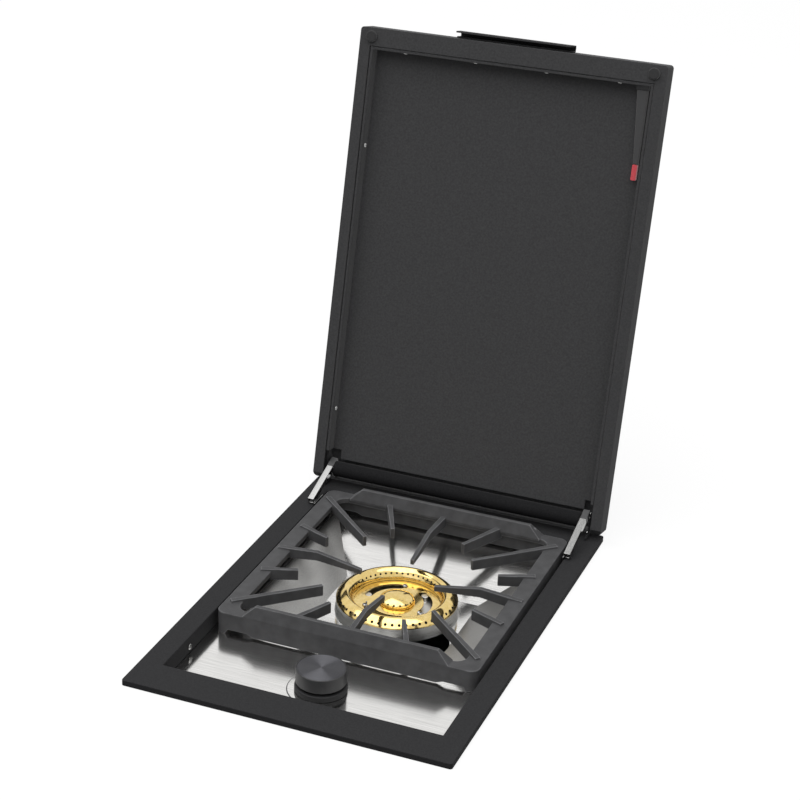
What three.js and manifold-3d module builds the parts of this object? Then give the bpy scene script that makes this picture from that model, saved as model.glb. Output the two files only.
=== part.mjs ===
// A built in side burner for an outdoor kitchen: a black drop-in bezel with a stainless
// well, a brass gas burner, a cast iron pan support, one control knob and a hinged lid.
// Millimetres, +Z up. The front faces -Y. The lid stands open.

import * as THREE from 'three';
import { mergeVertices } from 'three/addons/utils/BufferGeometryUtils.js';
import Module from 'manifold-3d';

const wasm = await Module();
wasm.setup();

// Driving dimensions

const unitWidth = 370;
const unitDepth = 526;
const frontStrip = 45.6;
const sideStrip = 26.5;
const backStrip = 34;
const bezelSheet = 2;
const bezelLip = 6.8;
const bezelRound = 2;
const cornerRound = 3;
const flangeSheet = 1.5;
const flangeDrop = 20;
const sealWidth = 10;
const sealInset = 1;

const panSheet = 1.2;
const panelDrop = 20.5;
const panWallTop = 8;
const boxSheet = 1.2;
const panelRun = 120.4;
const knobFromEdge = 56.9;
const supportGap = 4;
const supportSideGap = 5;

const lidLonger = 25;
const lidThick = 29.6;
const lidSheet = 1.5;
const lidSideFrame = 13;
const lidFrontFrame = 21;
const lidRecess = 17.2;
const lidRimGap = 4;
const lidFrontOverhang = 4;
const lidOpenAngle = 102.6;
const hingeFromLidBack = 18.65;
const hingeFromLidRim = 18.28;

const seat = 0.3;
const slide = 0.5;
const overrun = 2;

// Places that follow from them

const halfWidth = unitWidth / 2;
const halfDepth = unitDepth / 2;
const openX = halfWidth - sideStrip;
const openFront = -halfDepth + frontStrip;
const openBack = halfDepth - backStrip;
const originY = -halfDepth + bezelSheet + sealInset + sealWidth / 2;
const supportHalfX = openX - supportSideGap;
const supportHalfY = (openBack - openFront - panelRun) / 2;
const burnerY = openBack - supportGap - supportHalfY;
const knobY = openFront + knobFromEdge;
const lidLength = unitDepth + lidLonger;
const lidBackY = -halfDepth - lidFrontOverhang + lidLength;
const hingeY = lidBackY - hingeFromLidBack;
const hingeZ = lidRimGap + hingeFromLidRim;

// Counts

const roundSides = 32;
const fineSides = 48;
const smallSides = 12;
const arcSteps = 3;
const wideArcSteps = 6;
const pipeSteps = 18;
const bevelSteps = 2;

// Finishes

const finish = (color, metalness, roughness) =>
  new THREE.MeshStandardMaterial({ color, metalness, roughness });
const blackCoat = finish(0x404042, 0.2, 0.55);
const lidCoat = finish(0x343436, 0.2, 0.5);
const stainless = finish(0xc9c8c6, 1, 0.32);
const castIron = finish(0x5c5c5e, 0.3, 0.75);
const brass = finish(0xd9b25a, 1, 0.2);
const aluminium = finish(0xbdbdbb, 1, 0.4);
const zincSteel = finish(0xa9abad, 0.9, 0.45);
const brightSteel = finish(0xe6e6e6, 1, 0.18);
const blackRubber = finish(0x1d1d1d, 0, 0.85);
const blackPlastic = finish(0x262626, 0, 0.45);
const spunMetal = finish(0x6a6a6c, 1, 0.3);
const redPlastic = finish(0xc4454d, 0, 0.5);
const whiteCeramic = finish(0xe9e6de, 0, 0.35);

// Solids from geometry

function toSolid(source) {
  const bare = source.clone();
  bare.deleteAttribute('normal');
  bare.deleteAttribute('uv');
  const merged = mergeVertices(bare, 1e-4);
  const vertProperties = new Float32Array(merged.attributes.position.array);
  const corners = [];
  let signedVolume = 0;
  const a = new THREE.Vector3();
  const b = new THREE.Vector3();
  const c = new THREE.Vector3();
  const index = merged.index.array;
  for (let i = 0; i < index.length; i += 3) {
    const [p, q, r] = [index[i], index[i + 1], index[i + 2]];
    if (p === q || q === r || r === p) continue;
    corners.push(p, q, r);
    a.fromArray(vertProperties, 3 * p);
    b.fromArray(vertProperties, 3 * q);
    c.fromArray(vertProperties, 3 * r);
    signedVolume += a.dot(b.cross(c));
  }
  if (signedVolume < 0) corners.reverse();
  const triVerts = new Uint32Array(corners);
  return new wasm.Manifold(new wasm.Mesh({ numProp: 3, vertProperties, triVerts }));
}

function toGeometry(solid) {
  const mesh = solid.getMesh();
  const geometry = new THREE.BufferGeometry();
  geometry.setAttribute('position', new THREE.BufferAttribute(mesh.vertProperties, 3));
  geometry.setIndex(new THREE.BufferAttribute(mesh.triVerts, 1));
  const flat = geometry.toNonIndexed();
  flat.computeVertexNormals();
  return flat;
}

const join = (...solids) => solids.reduce((sum, next) => sum.add(next));
const cut = (solid, ...tools) => tools.reduce((rest, tool) => rest.subtract(tool), solid);

// Outlines

function rectangle(x0, x1, y0, y1, round = 0) {
  const shape = new THREE.Shape();
  if (round === 0) {
    shape.moveTo(x0, y0).lineTo(x1, y0).lineTo(x1, y1).lineTo(x0, y1).closePath();
    return shape;
  }
  const quarter = Math.PI / 2;
  shape.moveTo(x0 + round, y0);
  shape.lineTo(x1 - round, y0);
  shape.absarc(x1 - round, y0 + round, round, -quarter, 0, false);
  shape.lineTo(x1, y1 - round);
  shape.absarc(x1 - round, y1 - round, round, 0, quarter, false);
  shape.lineTo(x0 + round, y1);
  shape.absarc(x0 + round, y1 - round, round, quarter, 2 * quarter, false);
  shape.lineTo(x0, y0 + round);
  shape.absarc(x0 + round, y0 + round, round, 2 * quarter, 3 * quarter, false);
  return shape;
}

function outline(points) {
  const shape = new THREE.Shape();
  points.forEach(([x, y], i) => (i ? shape.lineTo(x, y) : shape.moveTo(x, y)));
  shape.closePath();
  return shape;
}

function circle(x, y, radius) {
  const shape = new THREE.Shape();
  shape.absarc(x, y, radius, 0, 2 * Math.PI, false);
  return shape;
}

// Basic solids. An outline is drawn seen from above, from the right or from the front.

function slab(shape, z0, z1, round = 0, curveSegments = arcSteps) {
  const geometry = new THREE.ExtrudeGeometry(shape, {
    depth: z1 - z0 - 2 * round,
    bevelEnabled: round > 0,
    bevelThickness: round,
    bevelSize: round,
    bevelOffset: -round,
    bevelSegments: bevelSteps,
    curveSegments,
  });
  geometry.translate(0, 0, z0 + round);
  return toSolid(geometry);
}

const block = (x0, x1, y0, y1, z0, z1, round = 0) =>
  slab(rectangle(x0, x1, y0, y1, round), z0, z1);

function sideSlab(shapeYZ, x0, x1, round = 0, curveSegments = arcSteps) {
  const turn = new THREE.Matrix4().makeBasis(
    new THREE.Vector3(0, 1, 0), new THREE.Vector3(0, 0, 1), new THREE.Vector3(1, 0, 0));
  return slab(shapeYZ, x0, x1, round, curveSegments).transform(turn.elements);
}

function frontSlab(shapeXZ, y0, y1, round = 0) {
  const turn = new THREE.Matrix4().makeBasis(
    new THREE.Vector3(1, 0, 0), new THREE.Vector3(0, 0, 1), new THREE.Vector3(0, -1, 0));
  return slab(shapeXZ, -y1, -y0, round).transform(turn.elements);
}

function turned(profile, sides = roundSides) {
  const points = profile.map(([radius, z]) => new THREE.Vector2(radius, z));
  const geometry = new THREE.LatheGeometry(points, sides);
  geometry.rotateX(Math.PI / 2);
  return toSolid(geometry);
}

const disc = (radius, z0, z1, sides = roundSides) =>
  turned([[0, z0], [radius, z0], [radius, z1], [0, z1]], sides);

const crossRod = (radius, x0, x1, y, z, sides = smallSides) =>
  disc(radius, x0, x1, sides).rotate([0, 90, 0]).translate([0, y, z]);

const ringWall = (outer, inner, z0, z1, sides = roundSides) =>
  turned([[inner, z0], [outer, z0], [outer, z1], [inner, z1], [inner, z0]], sides);

function pipe(points, radius, steps = pipeSteps) {
  const path = new THREE.CatmullRomCurve3(points.map((p) => new THREE.Vector3(...p)));
  const section = circle(0, 0, radius);
  const geometry = new THREE.ExtrudeGeometry(section, {
    steps, bevelEnabled: false, extrudePath: path, curveSegments: wideArcSteps,
  });
  return toSolid(geometry);
}

// A flat-sided funnel between an upper and a lower rectangle.
function funnel(upper, zUpper, lower, zLower) {
  const corner = ([x0, x1, y0, y1], z) => [[x0, y0, z], [x1, y0, z], [x1, y1, z], [x0, y1, z]];
  const position = [...corner(lower, zLower), ...corner(upper, zUpper)].flat();
  const index = [0, 2, 1, 0, 3, 2, 4, 5, 6, 4, 6, 7];
  for (let i = 0; i < 4; i += 1) {
    const next = (i + 1) % 4;
    index.push(i, next, next + 4, i, next + 4, i + 4);
  }
  const geometry = new THREE.BufferGeometry();
  geometry.setAttribute('position', new THREE.Float32BufferAttribute(position, 3));
  geometry.setIndex(index);
  return toSolid(geometry);
}

// Groups

const unit = new THREE.Group();
unit.position.set(0, -originY, bezelLip);

const lid = new THREE.Group();
lid.position.set(0, hingeY, hingeZ);
lid.rotation.x = -THREE.MathUtils.degToRad(lidOpenAngle);
unit.add(lid);

function addPiece(parent, name, solid, material) {
  const mesh = new THREE.Mesh(toGeometry(solid), material);
  mesh.name = name;
  parent.add(mesh);
  return mesh;
}

const bothSides = [['left', -1], ['right', 1]];

// Bezel: a folded sheet with an outer lip on the bench and a flange round the opening

function bezelFrame() {
  const full = rectangle(-halfWidth, halfWidth, -halfDepth, halfDepth, cornerRound);
  full.holes.push(rectangle(-openX, openX, openFront, openBack));
  const face = slab(full, -bezelLip - bezelRound, 0, bezelRound);
  const belowLip = block(-halfWidth - overrun, halfWidth + overrun, -halfDepth - overrun,
    halfDepth + overrun, -bezelLip - bezelRound - overrun, -bezelLip);
  const hollow = rectangle(-halfWidth + bezelSheet, halfWidth - bezelSheet,
    -halfDepth + bezelSheet, halfDepth - bezelSheet);
  const flangeOuter = rectangle(-openX - flangeSheet, openX + flangeSheet,
    openFront - flangeSheet, openBack + flangeSheet);
  const under = slab(hollow, -bezelLip - overrun, -bezelSheet);
  const flange = slab(flangeOuter, -flangeDrop, -bezelSheet + seat);
  const opening = block(-openX, openX, openFront, openBack, -flangeDrop - overrun, 0);
  return join(cut(face, belowLip, under), cut(flange, opening));
}

// Foam seal in the hollow under the bezel. The unit rests on it.

function benchSeal() {
  const edge = bezelSheet + sealInset;
  const ring = rectangle(-halfWidth + edge, halfWidth - edge, -halfDepth + edge, halfDepth - edge);
  const inner = edge + sealWidth;
  ring.holes.push(rectangle(-halfWidth + inner, halfWidth - inner,
    -halfDepth + inner, halfDepth - inner));
  return slab(ring, -bezelLip, -bezelSheet - seat);
}

// Stainless pan: a control panel at the front and a four-sided well round the burner

const panInnerX = openX + flangeSheet + slide;
const panFront = openFront - flangeSheet - slide;
const panBack = openBack + flangeSheet + slide;
const wellFromSide = 18.5;
const wellTopX = panInnerX - wellFromSide;
const wellFromSupportFront = 13;
const wellFromSupportBack = 1;
const wellFloorAhead = 76;
const wellFloorBehind = 50;
const wellTopFront = burnerY - supportHalfY + wellFromSupportFront;
const wellTopBack = burnerY + supportHalfY - wellFromSupportBack;
const wellFloorX = 82;
const wellFloorFront = burnerY - wellFloorAhead;
const wellFloorBack = burnerY + wellFloorBehind;
const wellFloorDrop = 42;
const wellSeatRadius = 77;
const throatHole = 30;
const airHoleX = 50;
const airHoleAhead = 54;
const airHoleY = burnerY - airHoleAhead;
const airHoleRadius = 33;
const stemHole = 9;
const rodHole = 5;

function burnerPan() {
  const wellTop = [-wellTopX, wellTopX, wellTopFront, wellTopBack];
  const wellFloor = [-wellFloorX, wellFloorX, wellFloorFront, wellFloorBack];
  const grow = ([x0, x1, y0, y1]) => [x0 - panSheet, x1 + panSheet, y0 - panSheet, y1 + panSheet];
  const seatDisc = (margin, top) => disc(wellSeatRadius + margin, -wellFloorDrop - margin, top,
    fineSides).translate([0, burnerY, 0]);
  const outer = join(
    block(-panInnerX - panSheet, panInnerX + panSheet, panFront - panSheet, panBack + panSheet,
      -panelDrop - panSheet, -panWallTop),
    funnel(grow(wellTop), -panelDrop - panSheet, grow(wellFloor), -wellFloorDrop - panSheet),
    seatDisc(panSheet, -panelDrop - panSheet));
  const inner = join(
    block(-panInnerX, panInnerX, panFront, panBack, -panelDrop, -panWallTop + overrun),
    funnel(wellTop, -panelDrop, wellFloor, -wellFloorDrop), seatDisc(0, -panelDrop));
  const through = -wellFloorDrop - panSheet - overrun;
  const rodHoles = [igniterAngle, sensorAngle].map((angle) =>
    atBurner(disc(rodHole, through, -panelDrop, smallSides), angle));
  return cut(outer, inner, ...rodHoles,
    disc(throatHole, through, -panelDrop).translate([0, burnerY, 0]),
    disc(airHoleRadius, through, -panelDrop).translate([airHoleX, airHoleY, 0]),
    disc(stemHole, through, 0).translate([0, knobY, 0]));
}

// Lower box: a folded steel tub that hangs below the bench, with vent slots

const boxInnerX = panInnerX + panSheet + seat;
const boxInnerFront = panFront - panSheet - seat;
const boxInnerBack = panBack + panSheet + seat;
const boxRound = 2;
const ventCount = 6;
const ventWidth = 6;
const ventHeight = 34;
const ventPitch = 26;
const ventTop = 62;
const inletFromSide = 50;
const inletX = boxInnerX - inletFromSide;
const inletDrop = 84;
const inletHole = 13;

function lowerBox() {
  const shell = cut(
    block(-boxInnerX - boxSheet, boxInnerX + boxSheet, boxInnerFront - boxSheet,
      boxInnerBack + boxSheet, -boxDepth, -panWallTop, boxRound),
    block(-boxInnerX, boxInnerX, boxInnerFront, boxInnerBack, -boxDepth + boxSheet, 0));
  let box = shell;
  for (let i = 0; i < ventCount; i += 1) {
    const along = burnerY + (i - (ventCount - 1) / 2) * ventPitch;
    box = cut(box, block(-halfWidth, halfWidth, along - ventWidth / 2, along + ventWidth / 2,
      -ventTop - ventHeight, -ventTop));
  }
  const inlet = disc(inletHole, -overrun, boxSheet + overrun).rotate([-90, 0, 0]);
  return cut(box, inlet.translate([inletX, boxInnerBack, -inletDrop]));
}

// Hold-down clamps: an angle on each box side with a screw that grips the bench from below

const clampSheet = 3;
const clampWidth = 30;
const clampHeight = 30;
const clampReach = 20;
const clampDrop = 62;
const clampFromEnd = 70;
const boltRadius = 3;
const boltHead = 5.5;
const boltHeadThick = 4;
const boltRise = 22;

const clampPlaces = [
  ['front', boxInnerFront + clampFromEnd],
  ['back', boxInnerBack - clampFromEnd],
];

function clampBracket(side, along) {
  const face = boxInnerX + boxSheet + seat;
  const profile = outline([
    [face, -clampDrop], [face + clampReach, -clampDrop],
    [face + clampReach, -clampDrop + clampSheet], [face + clampSheet, -clampDrop + clampSheet],
    [face + clampSheet, -clampDrop + clampHeight], [face, -clampDrop + clampHeight]]);
  const angle = frontSlab(profile, along - clampWidth / 2, along + clampWidth / 2);
  const boltX = face + clampSheet + (clampReach - clampSheet) / 2;
  const hole = disc(boltRadius + seat, -clampDrop - overrun, -clampDrop + clampSheet + overrun,
    smallSides).translate([boltX, along, 0]);
  const placed = cut(angle, hole);
  return side > 0 ? placed : placed.mirror([1, 0, 0]);
}

function clampBolt(side, along) {
  const face = boxInnerX + boxSheet + seat;
  const boltX = face + clampSheet + (clampReach - clampSheet) / 2;
  const under = -clampDrop - seat;
  const bolt = turned([
    [0, under - boltHeadThick], [boltHead, under - boltHeadThick], [boltHead, under],
    [boltRadius, under], [boltRadius, -clampDrop + boltRise], [0, -clampDrop + boltRise]],
  smallSides);
  return bolt.translate([side * boltX, along, 0]);
}

// Screws that hold bezel flange, pan and box together, heads inside the opening

const wallScrewHead = 3.6;
const wallScrewHeadThick = 1.6;
const wallScrewDrop = 12;
const wallScrewFromFront = 62.5;

function wallScrew(side, along) {
  const screw = disc(wallScrewHead, seat, seat + wallScrewHeadThick, smallSides);
  return screw.rotate([0, -side * 90, 0]).translate([side * openX, along, -wallScrewDrop]);
}

// Burner: aluminium cup, brass flame ring, brass plate and a domed centre cap

const cupFoot = 75.5;
const cupTop = 71.5;
const cupTopDrop = 26.8;
const cupWall = 4;
const cupThroat = 24;
const cupThroatDrop = 62;
const cupFloor = 3;

function burnerCup() {
  const foot = -wellFloorDrop + seat;
  const floor = foot + cupFloor;
  const body = turned([
    [cupThroat - cupWall, -cupThroatDrop], [cupThroat, -cupThroatDrop], [cupThroat, foot],
    [cupFoot, foot], [cupTop, -cupTopDrop], [cupTop - cupWall, -cupTopDrop],
    [cupFoot - cupWall, floor], [cupThroat - cupWall, floor],
    [cupThroat - cupWall, -cupThroatDrop]], fineSides);
  return body.translate([0, burnerY, 0]);
}

const ringOuter = 70.3;
const ringInner = 50;
const ringCrest = 56;
const ringCrestDrop = 17;
const ringEdgeDrop = 24.4;
const ringFootDrop = 26.4;
const ringInnerDrop = 30;
const outerPorts = 40;
const innerPorts = 30;
const portRadius = 1.3;
const ringSides = 72;
const portSides = 4;

// Flame ports are drilled along a line from the burner axis, tilted to the face they leave.
function ports(count, radius, drop, tilt, length) {
  const drill = disc(portRadius, -length / 2, length / 2, portSides)
    .rotate([0, tilt, 0]).translate([radius, 0, -drop]);
  let all = drill;
  for (let i = 1; i < count; i += 1) all = join(all, drill.rotate([0, 0, (360 * i) / count]));
  return all;
}

// The ring's section: its outside from the inner foot over the crest, then its hollow back again
const ringSkin = 2.4;
const ringSection = [
  [ringInner, -ringInnerDrop], [51, -ringEdgeDrop], [52.5, -18.6], [ringCrest, -ringCrestDrop],
  [61, -17.9], [66.8, -21.4], [69.4, -23.5], [ringOuter, -ringEdgeDrop],
  [ringOuter, -ringFootDrop],
  [ringOuter - ringSkin, -ringFootDrop], [ringOuter - ringSkin, -24.8], [65.3, -23.5],
  [60, -20.3], [ringCrest, -ringCrestDrop - ringSkin], [54.4, -20.4], [53.3, -ringEdgeDrop],
  [ringInner + ringSkin, -ringInnerDrop], [ringInner, -ringInnerDrop]];
const outerPortReach = 67.3;
const outerPortDrop = 22.2;
const innerPortReach = 51.8;
const innerPortDrop = 21.8;
const portDepth = 3 * ringSkin;

function burnerRing() {
  const ring = turned(ringSection, ringSides);
  const outerDrill = ports(outerPorts, outerPortReach, outerPortDrop, 50, portDepth);
  const innerDrill = ports(innerPorts, innerPortReach, innerPortDrop, -80, portDepth);
  return cut(ring, outerDrill, innerDrill).translate([0, burnerY, 0]);
}

const plateThick = 1.8;
const plateDrop = 30.4;
const plateBore = 15;
const slotMid = 36;
const slotHalf = 5;
const slotSweep = 70;
const slotAngles = [95, 215, 335];
const plateScrewRadius = 38;
const plateScrewAngles = [52, 172, 292];

function kidney(midAngle, z0, z1) {
  const half = THREE.MathUtils.degToRad(slotSweep / 2);
  const mid = THREE.MathUtils.degToRad(midAngle);
  const shape = new THREE.Shape();
  shape.absarc(0, 0, slotMid + slotHalf, mid - half, mid + half, false);
  shape.absarc(slotMid * Math.cos(mid + half), slotMid * Math.sin(mid + half), slotHalf,
    mid + half, mid + half + Math.PI, false);
  shape.absarc(0, 0, slotMid - slotHalf, mid + half, mid - half, true);
  shape.absarc(slotMid * Math.cos(mid - half), slotMid * Math.sin(mid - half), slotHalf,
    mid - half + Math.PI, mid - half + 2 * Math.PI, false);
  return slab(shape, z0, z1, 0, wideArcSteps);
}

function burnerPlate() {
  const outer = ringInner - seat;
  const plate = ringWall(outer, plateBore, -plateDrop - plateThick, -plateDrop, fineSides);
  const slots = slotAngles.map((angle) =>
    kidney(angle, -plateDrop - plateThick - overrun, -plateDrop + overrun));
  return cut(plate, ...slots).translate([0, burnerY, 0]);
}

// Pillars stand on the cup's floor and carry the plate.
const pillarRadius = 4.5;

function platePillars() {
  const foot = -wellFloorDrop + seat + cupFloor;
  return plateScrewAngles.map((angle) =>
    disc(pillarRadius, foot - cupFloor / 2, -plateDrop - plateThick - seat, smallSides)
      .translate([plateScrewRadius, 0, 0]).rotate([0, 0, angle]).translate([0, burnerY, 0]));
}

const capBase = 21;
const capTopDrop = 21.5;
const capPorts = 12;
const capStem = 14.6;
const capDome = 20.4;
const capPortReach = 20;
const capPortDepth = 5;

function burnerCap() {
  const base = -plateDrop + seat;
  const rise = plateDrop - seat - capTopDrop;
  const profile = [[0, -plateDrop - plateThick], [capStem, -plateDrop - plateThick], [capStem, base],
    [capBase, base], [capDome, base + rise * 0.28]];
  for (let i = 1; i <= 6; i += 1) {
    const angle = (Math.PI / 2) * (i / 6);
    profile.push([capDome * Math.cos(angle), base + rise * (0.28 + 0.72 * Math.sin(angle))]);
  }
  profile[profile.length - 1][0] = 0;
  const drills = ports(capPorts, capPortReach, plateDrop - seat - rise * 0.34, 75, capPortDepth);
  return cut(turned(profile, roundSides), drills).translate([0, burnerY, 0]);
}

const plateScrewHead = 3.2;
const plateScrewRise = 2;

function plateScrew(angle) {
  return disc(plateScrewHead, -plateDrop + seat, -plateDrop + plateScrewRise, smallSides)
    .translate([plateScrewRadius, 0, 0]).rotate([0, 0, angle]).translate([0, burnerY, 0]);
}

// Igniter electrode and flame sensor stand in two of the plate's slots

const ceramicRadius = 3.2;
const ceramicCollar = 4.2;
const wireRadius = 1;
const sensorTip = 2;
const sensorAngle = slotAngles[2];
const igniterAngle = slotAngles[1];
const cupPortRadius = ceramicRadius + slide;

const atBurner = (solid, angle) =>
  solid.translate([slotMid, 0, 0]).rotate([0, 0, angle]).translate([0, burnerY, 0]);

function igniterBody() {
  return atBurner(turned([
    [0, -cupThroatDrop], [ceramicCollar, -cupThroatDrop],
    [ceramicCollar, -wellFloorDrop - panSheet - overrun],
    [ceramicRadius, -wellFloorDrop - panSheet - overrun],
    [ceramicRadius, -plateDrop - plateThick], [0, -plateDrop - plateThick]], smallSides),
  igniterAngle);
}

const igniterTip = () => atBurner(
  disc(wireRadius, -plateDrop - plateThick + seat, -plateDrop + 2 * overrun, smallSides),
  igniterAngle);

const flameSensor = () => atBurner(turned([
  [0, -cupThroatDrop], [ceramicRadius, -cupThroatDrop], [ceramicRadius, -plateDrop - overrun],
  [sensorTip, -plateDrop - plateThick / 2], [sensorTip, -plateDrop + overrun],
  [0, -plateDrop + 2 * overrun]], smallSides), sensorAngle);

// Mixer: a venturi tube that turns up into the cup's throat

const mixerRadius = 15;
const mixerWall = 2;
const mixerBelowThroat = 22;
const mixerDrop = cupThroatDrop + mixerBelowThroat;
const boxBelowMixer = 34;
const boxDepth = mixerDrop + boxBelowMixer;
const mixerMouth = 20;
const mixerLong = 100;
const mixerMouthY = burnerY - mixerLong;
const mixerNeck = 11;
const riserRadius = cupThroat - cupWall - seat - mixerWall;
const riserLap = 8;

function mixerTube() {
  const run = burnerY - mixerMouthY;
  const flow = (grow) => turned([
    [0, 0], [mixerMouth + grow, 0], [mixerNeck + grow, run * 0.3], [mixerRadius + grow, run * 0.62],
    [mixerRadius + grow, run], [0, run]], roundSides).rotate([-90, 0, 0])
    .translate([0, mixerMouthY, -mixerDrop]);
  const riser = (grow, rise) => disc(riserRadius + grow, -mixerDrop - mixerRadius - grow,
    -cupThroatDrop + riserLap + rise).translate([0, burnerY, 0]);
  const outside = join(flow(mixerWall), riser(mixerWall, 0));
  return cut(outside, flow(0).translate([0, -seat, 0]), riser(0, overrun));
}

// Jet holder in front of the mixer's mouth, on its own bracket from the box floor

const jetRadius = 6;
const jetLength = 26;
const jetGap = 8;
const jetBore = 1.4;
const jetPostWidth = 12;

function jetHolder() {
  const tipY = mixerMouthY - jetGap;
  const body = turned([
    [0, 0], [jetRadius, 0], [jetRadius, jetLength * 0.6], [jetRadius * 0.6, jetLength * 0.75],
    [jetRadius * 0.6, jetLength], [0, jetLength]], roundSides).rotate([-90, 0, 0])
    .translate([0, tipY - jetLength, -mixerDrop]);
  const bore = disc(jetBore, jetLength / 2, jetLength + overrun, smallSides).rotate([-90, 0, 0])
    .translate([0, tipY - jetLength, -mixerDrop]);
  const post = block(-jetPostWidth / 2, jetPostWidth / 2, tipY - jetLength + overrun,
    tipY - jetLength + overrun + jetPostWidth, -boxDepth + boxSheet + seat, -mixerDrop);
  return cut(join(body, post), bore);
}

// Gas valve under the control panel

const valveWide = 30;
const valveCorner = 3;
const valveTall = 34;
const valveTop = panelDrop + panSheet + seat;
const bushRadius = 8;
const bushRise = 5;
const collarRadius = 6.6;
const collarThick = 3;
const stemRadius = 4;
const stemBottomDrop = 44;
const pushTravel = 3;
const outletRadius = 5;

function gasValve() {
  const top = -valveTop;
  const body = block(-valveWide / 2, valveWide / 2, knobY - valveWide / 2, knobY + valveWide / 2,
    top - valveTall, top, valveCorner);
  const bush = disc(bushRadius, top - overrun, top + panSheet + bushRise).translate([0, knobY, 0]);
  const cavity = disc(collarRadius + slide, -stemBottomDrop - pushTravel - overrun,
    top + panSheet).translate([0, knobY, 0]);
  const stemWay = disc(stemRadius + slide, top, top + panSheet + bushRise + overrun)
    .translate([0, knobY, 0]);
  return cut(join(body, bush), cavity, stemWay);
}

const collarTop = valveTop + overrun;
const springWire = 0.6;
const springTurns = 4;
const springSteps = 44;

const valveCollar = () => ringWall(collarRadius, stemRadius + seat,
  -collarTop - collarThick, -collarTop, roundSides).translate([0, knobY, 0]);

// The return spring stands on the floor of the valve's bore, round the stem
function valveSpring() {
  const low = -stemBottomDrop - pushTravel - overrun + springWire + seat;
  const high = -collarTop - collarThick - springWire - seat;
  const radius = (collarRadius + stemRadius) / 2;
  const coil = new THREE.Curve();
  coil.getPoint = (t) => {
    const angle = 2 * Math.PI * springTurns * t;
    const rise = low + (high - low) * t;
    return new THREE.Vector3(radius * Math.cos(angle), knobY + radius * Math.sin(angle), rise);
  };
  return toSolid(new THREE.ExtrudeGeometry(circle(0, 0, springWire), {
    steps: springSteps, bevelEnabled: false, extrudePath: coil, curveSegments: arcSteps,
  }));
}

// Knob: a black skirted body with a spun metal disc let into its top

const knobRadius = 27.5;
const knobTop = 6.5;
const knobFoot = 10;
const knobWall = 3;
const discInset = 1;
const discThick = 1.6;
const knobChamfer = 0.8;
const knobLip = 0.2;
const discStep = 0.5;
const discBevel = 1.8;
const knobBoss = 8;
const knobRingLip = 1;
const knobRingShelf = 2;
const knobRingRadius = 28.6;
const knobRingDrop = 13.6;
const stemTop = 0.5;

function knobBody() {
  const shelf = knobTop - discThick - seat;
  const crown = turned([
    [0, -knobFoot], [knobRadius, -knobFoot], [knobRadius, knobTop - knobLip - knobChamfer],
    [knobRadius - knobChamfer, knobTop - knobLip], [knobRadius - discInset, knobTop - knobLip],
    [knobRadius - discInset, shelf], [0, shelf]], fineSides);
  const inside = ringWall(knobRadius - knobWall, knobBoss, -knobFoot - overrun, shelf - knobWall,
    roundSides);
  const bore = disc(stemRadius + seat, -knobFoot - overrun, stemTop + seat, smallSides);
  return cut(crown, inside, bore).translate([0, knobY, 0]);
}

function knobDisc() {
  const rim = knobRadius - discInset - seat;
  return turned([
    [0, knobTop - discThick], [rim, knobTop - discThick], [rim, knobTop - discStep],
    [rim - discBevel, knobTop], [0, knobTop]], fineSides).translate([0, knobY, 0]);
}

function valveStem() {
  return turned([
    [0, -stemBottomDrop], [stemRadius, -stemBottomDrop], [stemRadius, stemTop], [0, stemTop]],
  smallSides).translate([0, knobY, 0]);
}

function knobRing() {
  const foot = -panelDrop + seat;
  const inner = knobRadius - knobWall - knobRingLip;
  return turned([
    [bushRadius + slide, foot], [knobRingRadius, foot],
    [knobRingRadius, -knobRingDrop - knobRingLip], [knobRingRadius - knobRingLip, -knobRingDrop],
    [inner, -knobRingDrop], [inner, foot + knobRingShelf],
    [bushRadius + slide, foot + knobRingShelf], [bushRadius + slide, foot]],
  fineSides).translate([0, knobY, 0]);
}

// Gas pipes

const feedRadius = 5;
const feedDrop = 46;
const pipeStraight = 30;
const pipeStep = 8;
const pipeBend = 50;
const outletStraight = 14;

function feedPipe() {
  const valveSide = valveWide / 2 + seat;
  const endY = boxInnerBack - elbowInside - seat;
  return pipe([
    [valveSide, knobY, -feedDrop], [valveSide + pipeStraight, knobY, -feedDrop],
    [inletX * 0.8, knobY + pipeStep, -feedDrop - pipeStep],
    [inletX, knobY + pipeBend, -inletDrop], [inletX, burnerY, -inletDrop],
    [inletX, endY - pipeStraight, -inletDrop], [inletX, endY, -inletDrop]], feedRadius);
}

function outletPipe() {
  const startY = knobY + valveWide / 2 + seat;
  const endY = mixerMouthY - jetGap - jetLength - seat;
  return pipe([
    [0, startY, -feedDrop], [0, startY + outletStraight, -feedDrop],
    [0, (startY + endY) / 2, -(feedDrop + mixerDrop) / 2],
    [0, endY - outletStraight, -mixerDrop], [0, endY, -mixerDrop]], outletRadius);
}

// Gas inlet: a hexagon fitting through the box's back wall with a flat sealing face

const elbowInside = 26;
const elbowOutside = 22;
const hexAcross = 11;
const hexLong = 10;
const spigotRadius = 9.5;
const inletBore = 4;
const hexSides = 6;

function gasInlet() {
  const wall = boxInnerBack;
  const inside = disc(spigotRadius, 0, elbowInside - seat, roundSides);
  const hex = disc(hexAcross, elbowInside + boxSheet + seat, elbowInside + boxSheet + hexLong, hexSides);
  const through = disc(spigotRadius, elbowInside - overrun, elbowInside + boxSheet + elbowOutside);
  const bore = disc(inletBore, elbowInside, elbowInside + boxSheet + elbowOutside + overrun);
  return cut(join(inside, through, hex), bore).rotate([-90, 0, 0])
    .translate([inletX, wall - elbowInside, -inletDrop]);
}

// Spark box on the box floor, with its lead to the electrode

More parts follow.
